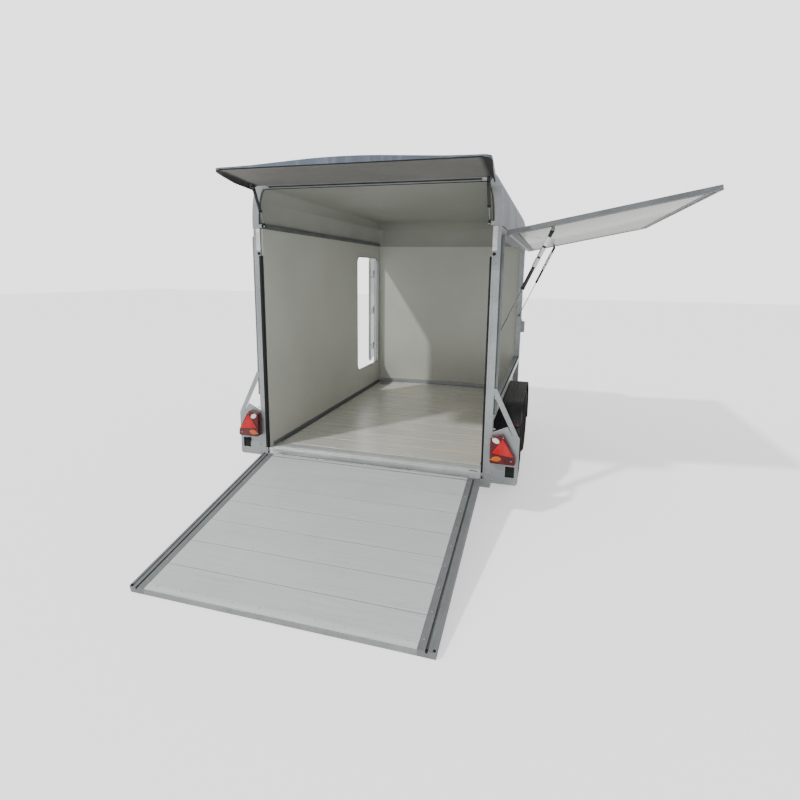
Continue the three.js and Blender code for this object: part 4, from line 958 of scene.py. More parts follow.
def makeRampRailParts(word, side, s):
    plug = bmesh.new()  # black plug in the rail's ground end
    end, inner = -rampLength + sink, -rampLength + s["plugLong"]
    x = sorted((side * (rampHalf - 0.004), side * (rampHalf - railWidth + 0.004)))
    addBox(plug, (x[0], end, s["plugLow"]), (x[1], inner, rampTop + s["plugRise"]), 0.0012)
    lip = sorted((side * (rampHalf - 0.001), side * (rampHalf - 0.013)))
    addBox(plug, (lip[0], end, 0.01), (lip[1], inner, 0.0292), 0.0012)
    finishPiece("ramp_plug_" + word, plug, blackPlastic, "ramp", "black_plastic", rampFrame)
    strip = bmesh.new()  # near-black strip along the rail's groove: painted shade
    middle = side * (rampHalf - s["groove"])
    low = (middle - s["grooveHalf"], -rampLength + 0.006, 0.014)
    addBox(strip, low, (middle + s["grooveHalf"], -0.03, 0.018), 0.001, 1)
    finishPiece("ramp_groove_shade_" + word, strip, grooveShadeZinc, "ramp", "galvanised", rampFrame)
    screws = bmesh.new()
    for y in rowOf(-rampLength + 0.06, -0.08, s["screws"]):
        addScrew(screws, (side * (rampHalf - s["screwInset"]), y, 0.024), (0, 0, 1), 0.004)
    finishPiece("ramp_screws_" + word, screws, galvanised, "ramp", "galvanised", rampFrame)


def makeRampCrossParts(s):
    edge = bmesh.new()  # chamfered strip where the ramp meets the ground
    half = rampHalf - railWidth - 2 * sink
    end, inner, top = -rampLength + 0.0008, -rampLength + s["edge"], rampTop + s["edgeRise"]
    section = [(end, -0.010), (inner, -0.010), (inner, top), (-rampLength + 0.012, top),
               (end, rampTop - 0.004)]
    addSwept(edge, [(-half, y, z) for y, z in section], (2 * half, 0, 0))
    for x in rowOf(-half + 0.05, half - 0.05, s["edgeScrews"]):
        addScrew(edge, (x, -rampLength + 0.034, top), (0, 0, 1), 0.004)
    finishPiece("ramp_edge", edge, rampPlank, "ramp", "planks", rampFrame)
    cover = bmesh.new()  # a cover strip over the hinge knuckles
    section = [(-0.026, 0.016), (-0.060, 0.0235), (-0.060, 0.0255), (-0.024, 0.0180)]
    addSwept(cover, [(-half, y, z) for y, z in section], (2 * half, 0, 0))
    finishPiece("ramp_hinge_cover", cover, galvanised, "ramp", "galvanised", rampFrame)
    under = bmesh.new()  # stiffeners under the planks
    low, high, top = -rampLength + s["stiffenerGap"], -0.06, s["stiffenerTop"]
    for x in rowOf(-half + 0.12, half - 0.12, s["stiffeners"]):
        addBox(under, (x - 0.02, low, top - 0.010), (x + 0.02, high, top), 0.002)
        addBox(under, (x - 0.03, low, top - 0.002), (x + 0.03, high, top), 0.0005, 1)
    finishPiece("ramp_stiffeners", under, galvanised, "ramp", "galvanised", rampFrame)


for word, side in sides():
    makeRampRailParts(word, side, rampSettings)
makeRampCrossParts(rampSettings)
print("ramp made")

flapSettings = {"frame": 0.060, "panelGap": 0.004, "recess": 0.008, "under": 0.016, "over": 0.012,
                "screws": 14, "seal": 0.002, "sealInset": 0.028, "lockAt": 0.45, "lockInset": 0.032,
                "hingeScrews": 20}
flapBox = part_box("side_flap")
flapLength = 1.141


def makeSideFlap(s):
    shift = Matrix.Translation(joints["side_flap_hinge"]["pos_m"]).inverted()
    rear = (shift @ flapBox[0]).y
    front = (shift @ flapBox[1]).y
    f = s["frame"]
    paintNode("side_flap", galvanisedDullAndShade)
    panel = bmesh.new()  # cream panel set in the frame, with a beaded edge
    low = (0.008 + f + s["panelGap"], rear + f + s["panelGap"], -s["under"] + 0.003)
    high = (flapLength - f - s["panelGap"], front - f - s["panelGap"], -s["under"] + s["recess"] + 0.001)
    addBox(panel, low, high, 0.0015)
    finishPiece("flap_inner_panel", panel, flapPanel, "side_flap", "laminate", flapFrame)
    skin = bmesh.new()  # outer skin
    addBox(skin, (0.04, rear + 0.03, s["over"] - 0.001), (flapLength - 0.03, front - 0.03,
                                                          s["over"] + 0.0025), 0.001)
    finishPiece("flap_outer_skin", skin, laminate, "side_flap", "laminate", flapFrame)
    rails = bmesh.new()  # raised inner lip of the frame, all round, and the outer edge
    a0, a1, b0, b1 = 0.012, flapLength - 0.001, rear + 0.001, front - 0.001
    z = -s["under"]
    lip, bead, proud = 0.018, 0.008, z - 0.0012
    for low, high in (((a0, b0, proud), (a1, b0 + lip, z + 0.001)),
                      ((a0, b1 - lip, proud), (a1, b1, z + 0.001)),
                      ((a0, b0, proud), (a0 + lip, b1, z + 0.001)),
                      ((a1 - lip, b0, proud), (a1, b1, z + 0.001)),
                      ((a0 + f, b0 + f - bead, z - 0.001), (a1 - f, b0 + f, z + 0.004)),
                      ((a0 + f, b1 - f, z - 0.001), (a1 - f, b1 - f + bead, z + 0.004)),
                      ((a1 - f, b0 + f - bead, z - 0.001), (a1 - f + bead, b1 - f + bead, z + 0.004))):
        addBox(rails, low, high, 0.0012, 1)
    for y in rowOf(rear + 0.1, front - 0.1, s["screws"]):
        addScrew(rails, (a0 + 0.034, y, z), (0, 0, -1), 0.003)
        addScrew(rails, (a1 - 0.032, y, z), (0, 0, -1), 0.003)
    finishPiece("flap_frame_lips", rails, galvanised, "side_flap", "galvanised", flapFrame)
    edge = bmesh.new()  # rubber round the rim
    x, level = a1 - s["sealInset"], z - 0.0004
    addPipe(edge, [(x, b0 + 0.03, level), (x, b1 - 0.03, level)], s["seal"], 8)
    for y in (b0 + 0.026, b1 - 0.026):
        addPipe(edge, [(0.04, y, level), (a1 - 0.03, y, level)], s["seal"], 8)
    finishPiece("flap_seal", edge, rubber, "side_flap", "rubber", flapFrame)
    catches = bmesh.new()  # two locks near the free edge: a plate, a turning handle and its boss
    x, top = a1 - s["lockInset"], s["over"]
    for y in (rear + s["lockAt"], front - s["lockAt"]):
        addBox(catches, (x - 0.023, y - 0.045, top - 0.001), (x + 0.022, y + 0.045, top + 0.004), 0.002)
        addBar(catches, (x, y, top + 0.003), (x, y, top + 0.013), 0.013, 20)
        addBox(catches, (x - 0.008, y - 0.004, top + 0.011), (x + 0.008, y + 0.075, top + 0.017), 0.003)
        addBar(catches, (x, y, z + 0.002), (x, y, z - 0.0014), 0.010, 16)
        addBox(catches, (x - 0.006, y - 0.03, z - 0.0026), (x + 0.006, y + 0.008, z - 0.001), 0.0004, 1)
    finishPiece("flap_locks", catches, galvanised, "side_flap", "galvanised", flapFrame)
    hinge = bmesh.new()  # piano hinge leaf with its knuckles' screws
    addBox(hinge, (0.010, rear + 0.002, s["over"] - 0.001), (0.040, front - 0.002, s["over"] + 0.0015),
           0.0006, 1)
    for y in rowOf(rear + 0.05, front - 0.05, s["hingeScrews"]):
        addScrew(hinge, (0.026, y, s["over"] + 0.0015), (0, 0, 1), 0.0035)
    finishPiece("flap_hinge_leaf", hinge, galvanised, "side_flap", "galvanised", flapFrame)


makeSideFlap(flapSettings)


# distances along a strut, from the eye on the flap
strutSettings = {"canopy": {"tube": 0.1674, "open": 0.2654, "radius": 0.010, "highlight_sleeve": 0.0, "highlight_sleeves": 0},
                 "side": {"tube": 0.3852, "open": 0.7705, "radius": 0.011, "highlight_sleeve": 0.2, "highlight_sleeves": 3}}


def makeStrutFittings(name, s):
    # collar and end cap on the tube, bright rings on the long ones as painted highlights, and a socket on the
    # rod's end
    eye = Vector(joints[name + "_turn"]["pos_m"])
    up = Vector(joints[name + "_slide"]["axis"]).normalized()
    tube = bmesh.new()
    mouth = eye - up * s["tube"]
    wall = s["radius"] - 0.001
    addRing(tube, mouth + up * 0.016, mouth + up * 0.001, wall, s["radius"] + 0.0012)
    addRing(tube, eye - up * 0.010, eye - up * 0.026, wall, s["radius"] + 0.001)
    addRing(tube, eye - up * 0.034, eye - up * 0.040, wall, s["radius"] + 0.0007)
    finishPiece(name + "_collars", tube, blackPlastic, name + "_tube", "black_plastic", Matrix())
    # bright rings standing for the highlights on the black tube: painted highlight
    if s["highlight_sleeves"]:
        highlight_sleeve = bmesh.new()
        pitch = s["highlight_sleeve"] / s["highlight_sleeves"]
        for k in range(s["highlight_sleeves"]):
            top = eye - up * (0.05 + k * pitch)
            addRing(highlight_sleeve, top, top - up * (pitch - 0.012), wall, s["radius"] + 0.003)
        finishPiece(name + "_sleeve", highlight_sleeve, brightTrim, name + "_tube", "galvanised", Matrix())
    rod = bmesh.new()
    foot = eye - up * s["open"]
    addBar(rod, foot + up * 0.006, foot + up * 0.024, 0.0062, 16, 0.005)
    finishPiece(name + "_socket", rod, blackPlastic, name + "_rod", "black_plastic", Matrix())


for word in ("left", "right"):
    makeStrutFittings("canopy_strut_" + word, strutSettings["canopy"])
for word in ("rear", "front"):
    makeStrutFittings("side_strut_" + word, strutSettings["side"])
print("flap and struts made")

wheelSettings = {"radius": 0.290, "bore": 0.1688, "blocks": 58, "bolts": 5, "boltCircle": 0.056,
                 "windows": 10, "windowCircle": 0.117, "steps": 64, "skew": 0.25, "blockDeep": 0.012,
                 "blockHalf": 0.0115, "shoulderDrop": 0.004,
                 "rows": ((0.0, 0.011, 0.0), (0.027, 0.011, 0.4), (-0.027, 0.011, 0.4), (0.052, 0.010, 0.8),
                          (-0.052, 0.010, 0.8))}


def makeTyre(name, place, s):
    half = tyreWidth / 2
    outside = [(s["bore"], half - 0.020), (s["bore"] + 0.006, half - 0.013), (0.186, half - 0.005),
               (0.196, half - 0.0035), (0.198, half - 0.001), (0.204, half - 0.001), (0.206, half - 0.002),
               (0.228, half), (0.250, half - 0.002), (0.256, half - 0.0015), (0.259, half - 0.004),
               (0.272, half - 0.011), (0.281, half - 0.024), (0.2825, half - 0.05)]
    profile = outside + [(r, -x) for r, x in reversed(outside)]
    bm = bmesh.new()
    addTurned(bm, profile, s["steps"])
    step = 2 * math.pi / s["blocks"]
    for across, width, phase in s["rows"]:  # rows of tread blocks: place, half width, offset round
        drop = s["shoulderDrop"] if abs(across) > 0.05 else 0.0
        for k in range(s["blocks"]):
            low = (s["radius"] - s["blockDeep"], -s["blockHalf"], across - width)
            high = (s["radius"] - 0.0008 - drop, s["blockHalf"], across + width)
            block = addBox(bm, low, high)
            skew = Matrix.Rotation(math.copysign(s["skew"], across), 4, "X") if across else Matrix()
            turn = Matrix.Rotation((k + phase) * step, 4, "Z") @ skew
            bmesh.ops.transform(bm, matrix=turn, verts=block)
    bmesh.ops.transform(bm, matrix=Matrix.Rotation(step, 4, "Z"), verts=bm.verts)
    piece = finishPiece(name, bm, tyreRubber, bodyOf(name.replace("_tread", "")), "tyre", place, 30)
    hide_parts(name.replace("_tread", ""))


def makeWheelDetails(where, place, s):
    body = "wheel_" + where
    softCopy("rim_" + where, "rim_dish_" + where, rimPaint, "rim", 40)
    bm = bmesh.new()  # hub cap, bolts and valve
    addTurned(bm, [(axisGap, 0.030), (0.034, 0.030), (0.0345, 0.044), (0.031, 0.056), (0.026, 0.0585),
                   (0.024, 0.0575), (axisGap, 0.0595)], 32)
    for k in range(s["bolts"]):
        turn = Matrix.Rotation(2 * math.pi * k / s["bolts"], 4, "Z")
        at = turn @ Vector((s["boltCircle"], 0, 0))
        addBar(bm, at + Vector((0, 0, 0.034)), at + Vector((0, 0, 0.0405)), 0.0125, 20, 0.011)
        addBar(bm, at + Vector((0, 0, 0.039)), at + Vector((0, 0, 0.051)), 0.0090, 6)
    addBar(bm, (0, -0.146, 0.030), (0, -0.128, 0.052), 0.0035, 10)
    finishPiece("wheel_bolts_" + where, bm, galvanised, body, "galvanised", place)
    dark = bmesh.new()  # black discs on the dish where its vent holes are: painted shade for the holes
    for k in range(s["windows"]):
        turn = Matrix.Rotation(2 * math.pi * (k + 0.5) / s["windows"], 4, "Z")
        tilt = Matrix.Translation((s["windowCircle"], 0, 0.0279)) @ Matrix.Rotation(math.radians(12), 4, "Y")
        profile = [(axisGap, -0.004), (0.0115, -0.004), (0.0130, 0.0007), (0.0105, 0.0011),
                   (0.0098, 0.0002), (axisGap, 0.0002)]
        addTurned(dark, profile, 20, turn @ tilt)
    finishPiece("wheel_hole_shade_" + where, dark, blackPlastic, body, "black_plastic", place)
    drum = bmesh.new()  # brake drum behind the dish
    addTurned(drum, [(0.031, -0.058), (0.118, -0.058), (0.122, -0.052), (0.122, -0.012), (0.112, -0.004),
                     (0.080, 0.002), (0.031, 0.002)], 40)
    finishPiece("brake_drum_" + where, drum, galvanisedDullAndShade, body, "galvanised", place)


for where in ("rear", "front"):
    for word, side in sides():
        low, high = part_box("tyre_" + where + "_" + word)
        across = Matrix.Rotation(math.radians(90 * side), 4, "Y")
        place = Matrix.Translation((low + high) / 2) @ across
        makeTyre("tyre_" + where + "_" + word + "_tread", place, wheelSettings)
        makeWheelDetails(where + "_" + word, place, wheelSettings)
print("wheels made")

mudguardSettings = {"radius": 0.3425, "drop": 0.058, "lip": 0.0045, "stays": ((0.40, 0.52), (1.05, 0.585),
                                                                              (1.70, 0.52))}


def mudguardLine(x, radius, drop):
    low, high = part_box("tyre_rear_left"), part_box("tyre_front_left")
    rearAxle, frontAxle = (low[0].y + low[1].y) / 2 - rearY, (high[0].y + high[1].y) / 2 - rearY
    z = wheelSettings["radius"]
    points = [(x, rearAxle - radius, z - drop)]
    points += [(x, rearAxle + radius * math.cos(a), z + radius * math.sin(a)) for a in rowOf(math.pi,
                                                                                             math.pi / 2, 10)]
    points += [(x, frontAxle + radius * math.cos(a), z + radius * math.sin(a)) for a in rowOf(math.pi / 2,
                                                                                              0, 10)]
    return points + [(x, frontAxle + radius, z - drop)]


def makeMudguards(s):
    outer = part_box("mudguard_right")[1].x - midX
    for word, side in sides():
        softCopy("mudguard_" + word, "mudguard_shell_" + word, blackPlastic, "black_plastic", 40)
        bm = bmesh.new()  # rolled lip on the outer edge and two pressed ribs along the band
        addPipe(bm, mudguardLine(side * (outer - 0.004), s["radius"], s["drop"]), s["lip"], 10)
        for share in (0.35, 0.68):
            x = side * (wallX + share * (outer - wallX))
            addPipe(bm, mudguardLine(x, s["radius"] + 0.0025, s["drop"] - 0.02), 0.0035, 8)
        finishPiece("mudguard_lip_" + word, bm, blackPlastic, "frame", "black_plastic")
        stay = bmesh.new()  # flat stays back to the wall, with their bolts
        x = sorted((side * (wallX + 0.001), side * (wallX + 0.006)))
        for y, z in s["stays"]:
            addBox(stay, (x[0], y - 0.02, z - 0.10), (x[1], y + 0.02, z + 0.03), 0.001)
            addScrew(stay, (side * (wallX + 0.006), y, z - 0.02), (side, 0, 0), 0.006)
        finishPiece("mudguard_stays_" + word, stay, galvanised, "frame", "galvanised")


makeMudguards(mudguardSettings)
print("mudguards made")

# points are (out from the post's outer face, up from the floor)
lampSettings = {"face": -0.046, "apex": (0.072, 0.257), "inner": (0.008, 0.157), "outer": (0.145, 0.141),
                "white": (0.030, 0.240), "amber": (0.036, 0.122), "whiteSize": (0.024, 0.0155),
                "amberSize": (0.030, 0.017), "base": ((0.0, 0.094), (0.152, 0.094), (0.149, 0.14),
                                                      (0.078, 0.262), (0.0, 0.25)), "gland": (0.06, 0.17),
                "screws": ((0.128, 0.115), (0.074, 0.262), (0.004, 0.115)), "bolts": ((0.012, 0.30),
                                                                                      (0.012, 0.50),
                                                                                      (0.012, 0.02),
                                                                                      (0.012, -0.04)),
                "border": 0.007}


def roundedOutline(bm, points, y, depth, radius, steps=4):
    # an upright outline of (x, z) points with its corners rounded, pushed back by depth
    made = addSwept(bm, [(x, y, z) for x, z in points], (0, depth, 0))
    edges = [e for v in made for e in v.link_edges if abs(e.verts[0].co.y - e.verts[1].co.y) > depth * 0.9]
    bmesh.ops.bevel(bm, geom=list(set(edges)), offset=radius, segments=steps, profile=0.5, affect="EDGES",
                    material=-1)


def softenFace(bm, y, width):
    rim = [e for e in bm.edges if all(abs(v.co.y - y) < 1e-5 for v in e.verts) and len(e.link_faces) == 2
           and e.calc_face_angle(0) > 0.5]
    bmesh.ops.bevel(bm, geom=rim, offset=width, segments=2, profile=0.5, affect="EDGES", material=-1)


def addOval(bm, centre, y, size, depth, tilt=0.0):
    # a flat-backed oval with a rounded rim, facing rearward
    profile = [(axisGap, 0), (1.0, 0), (1.0, 0.5), (0.86, 0.9), (0.6, 1.0), (axisGap, 1.0)]
    turn = Matrix.Rotation(math.radians(90), 4, "X")
    scale = Matrix.Diagonal((size[0], size[1], depth, 1))
    spin = Matrix.Rotation(tilt, 4, "Z")
    addTurned(bm, profile, 32, Matrix.Translation((centre[0], y, centre[1])) @ turn @ spin @ scale)


def makeLamp(word, side, s):
    def at(point):
        return side * (postX + point[0]), floorTop + point[1]
    softCopy("lamp_" + word, "lamp_housing_" + word, lampRed, "lamp", 40, None, 0.004)
    triangle = bmesh.new()
    roundedOutline(triangle, [at(s["apex"]), at(s["inner"]), at(s["outer"])], s["face"] - 0.004, 0.006, 0.010)
    softenFace(triangle, s["face"] - 0.004, 0.0015)
    finishPiece("reflector_" + word, triangle, reflectorRed, "frame", "lamp")
    border = bmesh.new()  # darker moulded border round the reflector
    corners = (s["apex"], s["inner"], s["outer"])
    middle = sum((Vector(corner) for corner in corners), Vector((0, 0))) / 3
    wide = []
    for point in corners:
        out = (Vector(point) - middle).normalized() * s["border"]
        wide.append(at((point[0] + out.x, point[1] + out.y)))
    roundedOutline(border, wide, s["face"] - 0.002, 0.003, 0.012)
    finishPiece("reflector_border_" + word, border, lampRed, "frame", "lamp")
    amber = bmesh.new()
    addOval(amber, at(s["amber"]), s["face"] + 0.001, s["amberSize"], 0.0045, side * 0.12)
    finishPiece("indicator_" + word, amber, lampAmber, "frame", "lamp")
    white = bmesh.new()
    addOval(white, at(s["white"]), s["face"] + 0.001, s["whiteSize"], 0.0045, -side * 0.5)
    finishPiece("lamp_window_" + word, white, lampClear, "frame", "lamp")
    base = bmesh.new()  # black base, screws and the cable gland behind the plate
    roundedOutline(base, [at(point) for point in s["base"]], -0.013, 0.010, 0.008)
    x, z = at(s["gland"])
    addBar(base, (x, 0.004, z), (x, 0.030, z), 0.012, 16, 0.008)
    finishPiece("lamp_base_" + word, base, blackPlastic, "frame", "black_plastic")
    screws = bmesh.new()
    for point in s["screws"]:
        x, z = at(point)
        addScrew(screws, (x, s["face"] - 0.0005, z), (0, -1, 0), 0.003)
    finishPiece("lamp_screws_" + word, screws, galvanised, "frame", "galvanised")
    box = bmesh.new()  # wiring box behind the bracket's slot
    x = sorted((at((0.085, 0))[0], at((0.155, 0))[0]))
    addBox(box, (x[0], 0.008, floorTop - 0.02), (x[1], 0.05, floorTop + 0.075), 0.006)
    for z in (floorTop, floorTop + 0.055):
        addBox(box, (x[0] + 0.004, 0.006, z), (x[1] - 0.004, 0.009, z + 0.004), 0.001, 1)
    finishPiece("wiring_box_" + word, box, blackPlastic, "frame", "black_plastic")
    bolts = bmesh.new()  # bolts of the bracket
    for point in s["bolts"]:
        x, z = at(point)
        addScrew(bolts, (x, 0, z), (0, -1, 0), 0.005)
    finishPiece("bracket_bolts_" + word, bolts, galvanised, "frame", "galvanised")


for word, side in sides():
    makeLamp(word, side, lampSettings)


def makeBung():
    bm = bmesh.new()
    x, z = -(postX + 0.103), floorTop + 0.046
    addTurned(bm, [(axisGap, 0.002), (0.0175, 0.002), (0.018, 0.006), (0.013, 0.009), (0.009, 0.006),
                   (axisGap, 0.006)],
              28, Matrix.Translation((x, 0, z)) @ Matrix.Rotation(math.radians(90), 4, "X"))
    addBar(bm, (x, 0.001, z), (x, -0.004, z), 0.017, 28)
    finishPiece("bracket_bung", bm, rubber, "frame", "rubber")


makeBung()
print("lamps made")

doorSettings = {"corner": 0.08, "edge": 0.009, "sealInset": 0.022, "seal": 0.0042, "lockIn": 0.07}


def roundedLoop(low, high, radius, at, steps=5):
    # a closed rounded rectangle of points; at() turns its two directions into a point
    points = []
    for a, b, start in ((high[0] - radius, low[1] + radius, -90), (high[0] - radius, high[1] - radius, 0),
                        (low[0] + radius, high[1] - radius, 90), (low[0] + radius, low[1] + radius, 180)):
        for angle in rowOf(math.radians(start), math.radians(start + 90), steps):
            points.append(at(a + radius * math.cos(angle), b + radius * math.sin(angle)))
    return points + points[:2]


def makeSideDoor(s):
    back = doorFrame.inverted()
    corners = [back @ v.co for v in nodes["side_door"].data.vertices]
    lowY = min(v.y for v in corners)
    panel = [v for v in corners if v.y < -0.2]
    lowX, highX = min(v.x for v in panel), max(v.x for v in panel)
    low, high = min(v.z for v in panel), max(v.z for v in panel)

    def doorPart(face):
        at = back @ face.calc_center_median()
        return 0 if lowX - 1e-4 < at.x < highX + 1e-4 and at.y < -0.04 else 1
    softCopy("side_door", "side_door_leaf", [laminate, galvanised], "laminate", 30, doorPart)
    for name, x, inset, radius, material, slotName in (
            ("door_edging", (lowX + highX) / 2, -0.001, s["edge"], galvanised, "galvanised"),
            ("door_seal", highX + 0.0005, s["sealInset"], s["seal"], rubber, "rubber")):
        bm = bmesh.new()
        loop = roundedLoop((lowY + inset, low + inset), (panelFront() - inset, high - inset),
                           s["corner"] - inset, lambda a, b: (x, a, b))
        addPipe(bm, loop, radius, 8)
        finishPiece(name, bm, material, "side_door", slotName, doorFrame)
    lock = bmesh.new()  # outside: plate and turning handle; inside: the latch bar
    y, z = lowY + s["lockIn"], (low + high) / 2
    addBox(lock, (lowX - 0.004, y - 0.03, z - 0.06), (lowX + 0.001, y + 0.03, z + 0.06), 0.0018)
    addBar(lock, (lowX - 0.003, y, z), (lowX - 0.016, y, z), 0.014, 24)
    addBox(lock, (lowX - 0.024, y - 0.010, z - 0.075), (lowX - 0.014, y + 0.010, z + 0.012), 0.004)
    addBar(lock, (highX - 0.001, y, z), (highX + 0.0045, y, z), 0.012, 20)
    addBox(lock, (highX + 0.0015, y - 0.035, z - 0.006), (highX + 0.0045, y + 0.008, z + 0.006), 0.001, 1)
    finishPiece("door_lock", lock, galvanised, "side_door", "galvanised", doorFrame)


def panelFront():
    # the panel's hinge-side edge, behind the wall's front margin
    back = doorFrame.inverted()
    points = [back @ v.co for v in nodes["side_door"].data.vertices]
    return max(p.y for p in points if p.z > doorTop() - sink)


def doorTop():
    return max(v.co.z for v in nodes["side_door"].data.vertices)


makeSideDoor(doorSettings)

openingSettings = {"rear": 1.76, "front": 2.40, "low": 0.25, "high": 1.41, "corner": 0.06}


def makeDoorOpening(s):
    low, high = (s["rear"], floorTop + s["low"]), (s["front"], floorTop + s["high"])
    trim = bmesh.new()  # bright trim inside, rubber outside
    addPipe(trim, roundedLoop(low, high, s["corner"], lambda a, b: (-innerX + 0.0005, a, b)), 0.005, 8)
    finishPiece("opening_trim", trim, galvanised, "frame", "galvanised")
    seal = bmesh.new()
    addPipe(seal, roundedLoop(low, high, s["corner"], lambda a, b: (-wallX + 0.0022, a, b)), 0.003, 8)
    finishPiece("opening_seal", seal, rubber, "frame", "rubber")
    keep = bmesh.new()  # keeper for the door's latch
    z = floorTop + (s["low"] + s["high"]) / 2
    face, y = -wallX - 0.002, s["rear"]
    addBox(keep, (face, y - 0.012, z - 0.05), (-wallX + 0.001, y - 0.002, z + 0.05), 0.0008, 1)
    for dz in (0.035, -0.035):
        addScrew(keep, (face, y - 0.006, z + dz), (-1, 0, 0), 0.003)
    finishPiece("latch_keeper", keep, galvanised, "frame", "galvanised")


makeDoorOpening(openingSettings)
print("side door made")

for node, name, material, slotName, bevel in (
        ("coupling_head", "coupling_body", galvanised, "galvanised", 0.002),
        ("overrun_housing", "overrun_body", galvanised, "galvanised", 0.003),
        ("bellows", "bellows_sleeve", rubber, "rubber", 0.0),
        ("handbrake_lever", "handbrake_arm", blackPlastic, "black_plastic", 0.0),
        ("jockey_wheel", "jockey_tread", rubber, "rubber", 0.0),
        ("jockey_tube", "jockey_housing", galvanised, "galvanised", 0.0),
        ("jockey_fork", "jockey_cheeks", galvanised, "galvanised", 0.0)):
    softCopy(node, name, material, slotName, 40, None, bevel)

drawbarSettings = {"bolt": 0.008, "housingBolts": (0.245, 0.21), "housingHalf": 0.078, "plateX": 0.52,
                   "crank": 0.110}


def makeDrawbarDetails(s):
    bm = bmesh.new()  # bolts of the overrun housing and of the front beam's plates
    high = bodyShift.inverted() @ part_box("overrun_housing")[1]
    for side in (-1, 1):
        for back in s["housingBolts"]:
            addScrew(bm, (side * s["housingHalf"], high.y - back, high.z), (0, 0, 1), s["bolt"])
    plate = bodyShift.inverted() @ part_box("front_beam")[1]
    for side in (-1, 1):
        x, z = side * s["plateX"], plate.z - 0.0705
        addBox(bm, (x - 0.075, frontY - 0.058, z), (x + 0.075, frontY - 0.002, plate.z - 0.0595), 0.003)
        for dx in (-0.055, 0.055):
            addScrew(bm, (x + dx, frontY - 0.03, z), (0, 0, -1), s["bolt"])
    finishPiece("drawbar_bolts", bm, galvanised, "frame", "galvanised")
    grip = bmesh.new()  # grips of the crank and of the coupling
    x, y, z = joints["jockey_swivel"]["pos_m"]
    at = Matrix.Translation((x + s["crank"], y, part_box("jockey_tube")[1].z))
    profile = [(0.0115, -0.052), (0.0145, -0.050), (0.0150, -0.030), (0.0140, -0.012), (0.0135, 0.0),
               (axisGap, 0.0), (axisGap, -0.002), (0.0115, -0.002)]
    addTurned(grip, profile, 20, at)
    finishPiece("crank_grip", grip, blackPlastic, "frame", "black_plastic", Matrix())
    hub = bmesh.new()  # the jockey wheel's rim and hub
    pos = joints["jockey_wheel_spin"]["pos_m"]
    turn = Matrix.Translation(pos) @ Matrix.Rotation(math.radians(90), 4, "Y")
    for side in (-1, 1):
        addTurned(hub, [(0.0095, side * 0.0235), (0.030, side * 0.0245), (0.050, side * 0.0175),
                        (0.050, side * 0.0140),
                        (0.030, side * 0.0200), (0.0095, side * 0.0200)], 32, turn)
    finishPiece("jockey_hub", hub, rimPaint, "jockey_wheel", "rim", Matrix())


makeDrawbarDetails(drawbarSettings)

undersideSettings = {"pitch": 0.1, "rib": 0.003, "drop": 0.0075, "half": 0.703, "floorThick": 0.028,
                     "mountX": 0.735, "mountHalf": 0.085}


def makeUnderside(s):
    bm = bmesh.new()  # ribs under the plank floor, clear of the cross beams
    bottom = floorTop - s["floorThick"]
    beams = [(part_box(n)[0].y - rearY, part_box(n)[1].y - rearY) for n in ("middle_beam", "front_beam")]
    y = thresholdEnd + 0.05
    while y < frontY - 0.1:
        if all(y + s["rib"] < low - 0.002 or y - s["rib"] > high + 0.002 for low, high in beams):
            low, high = (-s["half"], y - s["rib"], bottom - s["drop"]), (s["half"], y + s["rib"],
                                                                         bottom + sink)
            addBox(bm, low, high, 0.001, 1)
        y += s["pitch"] / 2
    finishPiece("floor_ribs", bm, galvanisedDullAndShade, "frame", "planks")
    mounts = bmesh.new()  # axle mounts bolted to the side members
    for name in ("axle_rear", "axle_front"):
        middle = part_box(name)[1].y - rearY - 0.042
        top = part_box("side_member_left")[0].z
        for side in (-1, 1):
            x, z, half = side * s["mountX"], top - 0.0085, s["mountHalf"]
            addBox(mounts, (x - 0.026, middle - half, z), (x + 0.026, middle + half, top + 0.0002), 0.002)
            for dy in (0.02 - half, half - 0.02):
                addScrew(mounts, (x, middle + dy, z), (0, 0, -1), 0.008)
    finishPiece("axle_mounts", mounts, galvanised, "frame", "galvanised")


makeUnderside(undersideSettings)


frontSettings = {"keeperLow": 0.95, "keeperHigh": 1.10, "keeperOut": 0.036, "cornerRivets": 14,
                 "footRivets": 13, "sideRivets": 18, "rivet": 0.0032, "rivetOut": 0.0142,
                 "marker": (0.125, 0.425, 0.52)}


def makeFlapKeeper(s):
    # small bracket outside the front right post, ahead of the shut flap
    bm = bmesh.new()
    x, y, low = postX, flapBox[1].y - rearY, s["keeperLow"]
    tip = x + s["keeperOut"]
    addBox(bm, (x - 0.001, y + 0.005, low), (x + 0.004, y + 0.027, s["keeperHigh"]), 0.0012)
    addBox(bm, (x - 0.001, y + 0.006, low + 0.005), (tip, y + 0.010, s["keeperHigh"] - 0.025), 0.0012)
    addBox(bm, (tip - 0.004, y + 0.006, low + 0.005), (tip, y + 0.024, s["keeperHigh"] - 0.05), 0.001)
    for z in (low + 0.02, s["keeperHigh"] - 0.02):
        addScrew(bm, (x + 0.004, y + 0.019, z), (1, 0, 0), 0.004)
    finishPiece("flap_keeper", bm, galvanised, "frame", "galvanised")


def makeRivets(s):
    # rivets through the front wall into the corner posts and the floor, and along the feet of the side walls
    bm = bmesh.new()
    for side in (-1, 1):
        x = side * (wallX - 0.02)
        for z in rowOf(floorTop + 0.08, eavesZ - 0.08, s["cornerRivets"]):
            addScrew(bm, (x, bowAt(x) + s["rivetOut"], z), (side * 0.15, 1, 0), s["rivet"])
    for x in rowOf(-0.72, 0.72, s["footRivets"]):
        addScrew(bm, (x, bowAt(x) + s["rivetOut"], floorTop + 0.02), (0, 1, 0), s["rivet"])
    for side in (-1, 1):
        for y in rowOf(0.12, frontY - 0.12, s["sideRivets"]):
            addScrew(bm, (side * wallX, y, floorTop + 0.012), (side, 0, 0), s["rivet"])
    finishPiece("wall_rivets", bm, galvanised, "frame", "galvanised")


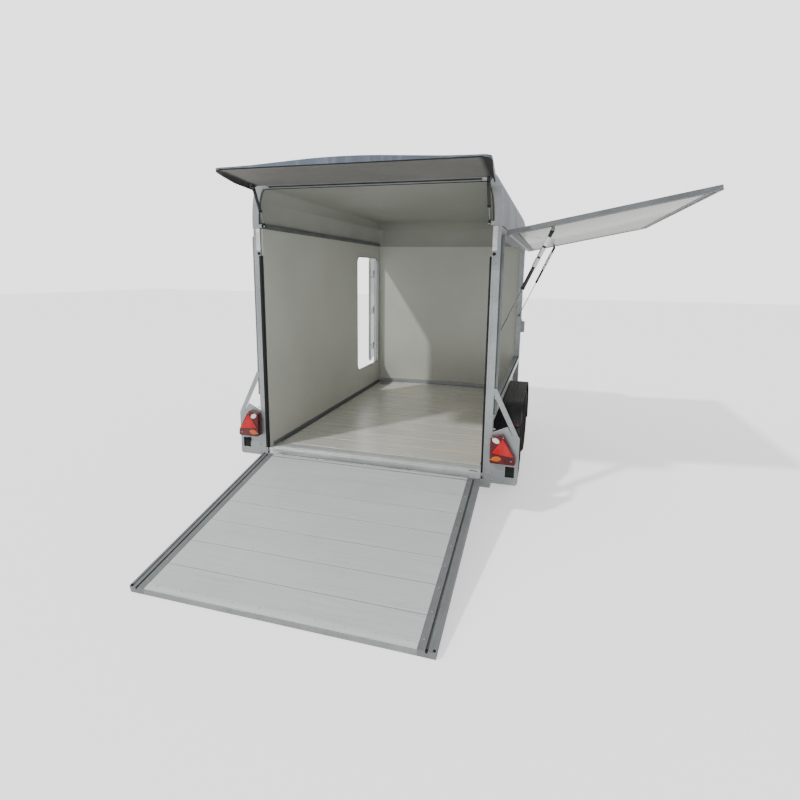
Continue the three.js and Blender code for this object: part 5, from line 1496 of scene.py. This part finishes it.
def makeSideMarker(s):
    # small round marker on the rear of the right mudguard
    bm = bmesh.new()
    out, y, z = s["marker"]
    turn = Matrix.Translation((postX + out, y, z)) @ Matrix.Rotation(math.radians(115), 4, "X")
    profile = [(axisGap, -0.004), (0.012, -0.004), (0.0125, 0.003), (0.010, 0.007), (0.006, 0.009),
               (axisGap, 0.0095)]
    addTurned(bm, profile, 28, turn)
    finishPiece("side_marker", bm, lampRed, "frame", "lamp")


makeFlapKeeper(frontSettings)
makeRivets(frontSettings)
makeSideMarker(frontSettings)
print("front and underside made")

stageSettings = {"size": 30.0, "floor": (0.95, 0.95, 0.95), "glow": 0.75, "world": 0.85, "backdrop": 2.4,
                 "sun": 2.6, "sunTurn": (46, 0, -38), "sunAngle": 3.0}


def makeStage(s):
    bm = bmesh.new()
    bmesh.ops.create_grid(bm, x_segments=1, y_segments=1, size=s["size"])
    mesh = bpy.data.meshes.new("floor_stage")
    bm.to_mesh(mesh)
    bm.free()
    ground = bpy.data.objects.new("floor_stage", mesh)
    bpy.context.scene.collection.objects.link(ground)
    made, tree, shader = startMaterial("stage_floor")[:3]
    shader.inputs["Base Color"].default_value = (*s["floor"], 1)
    shader.inputs["Roughness"].default_value = 0.6
    shader.inputs["Emission Color"].default_value = (1, 1, 1, 1)
    seen = addNode(tree, "ShaderNodeLightPath").outputs["Is Camera Ray"]
    tree.links.new(maths(tree, "MULTIPLY", seen, s["glow"]), shader.inputs["Emission Strength"])
    mesh.materials.append(made)
    world = bpy.data.worlds.new("studio")
    bpy.context.scene.world = world
    world.use_nodes = True
    world.node_tree.nodes["Background"].inputs["Color"].default_value = (1, 1, 1, 1)
    seen = addNode(world.node_tree, "ShaderNodeLightPath").outputs["Is Camera Ray"]
    strength = spread(world.node_tree, seen, 0.0, 1.0, s["world"], s["backdrop"])
    world.node_tree.links.new(strength, world.node_tree.nodes["Background"].inputs["Strength"])
    data = bpy.data.lights.new("key", "SUN")
    data.energy = s["sun"]
    data.angle = math.radians(s["sunAngle"])
    key = bpy.data.objects.new("key", data)
    key.rotation_euler = [math.radians(a) for a in s["sunTurn"]]
    bpy.context.scene.collection.objects.link(key)


makeStage(stageSettings)
print("stage and light set")
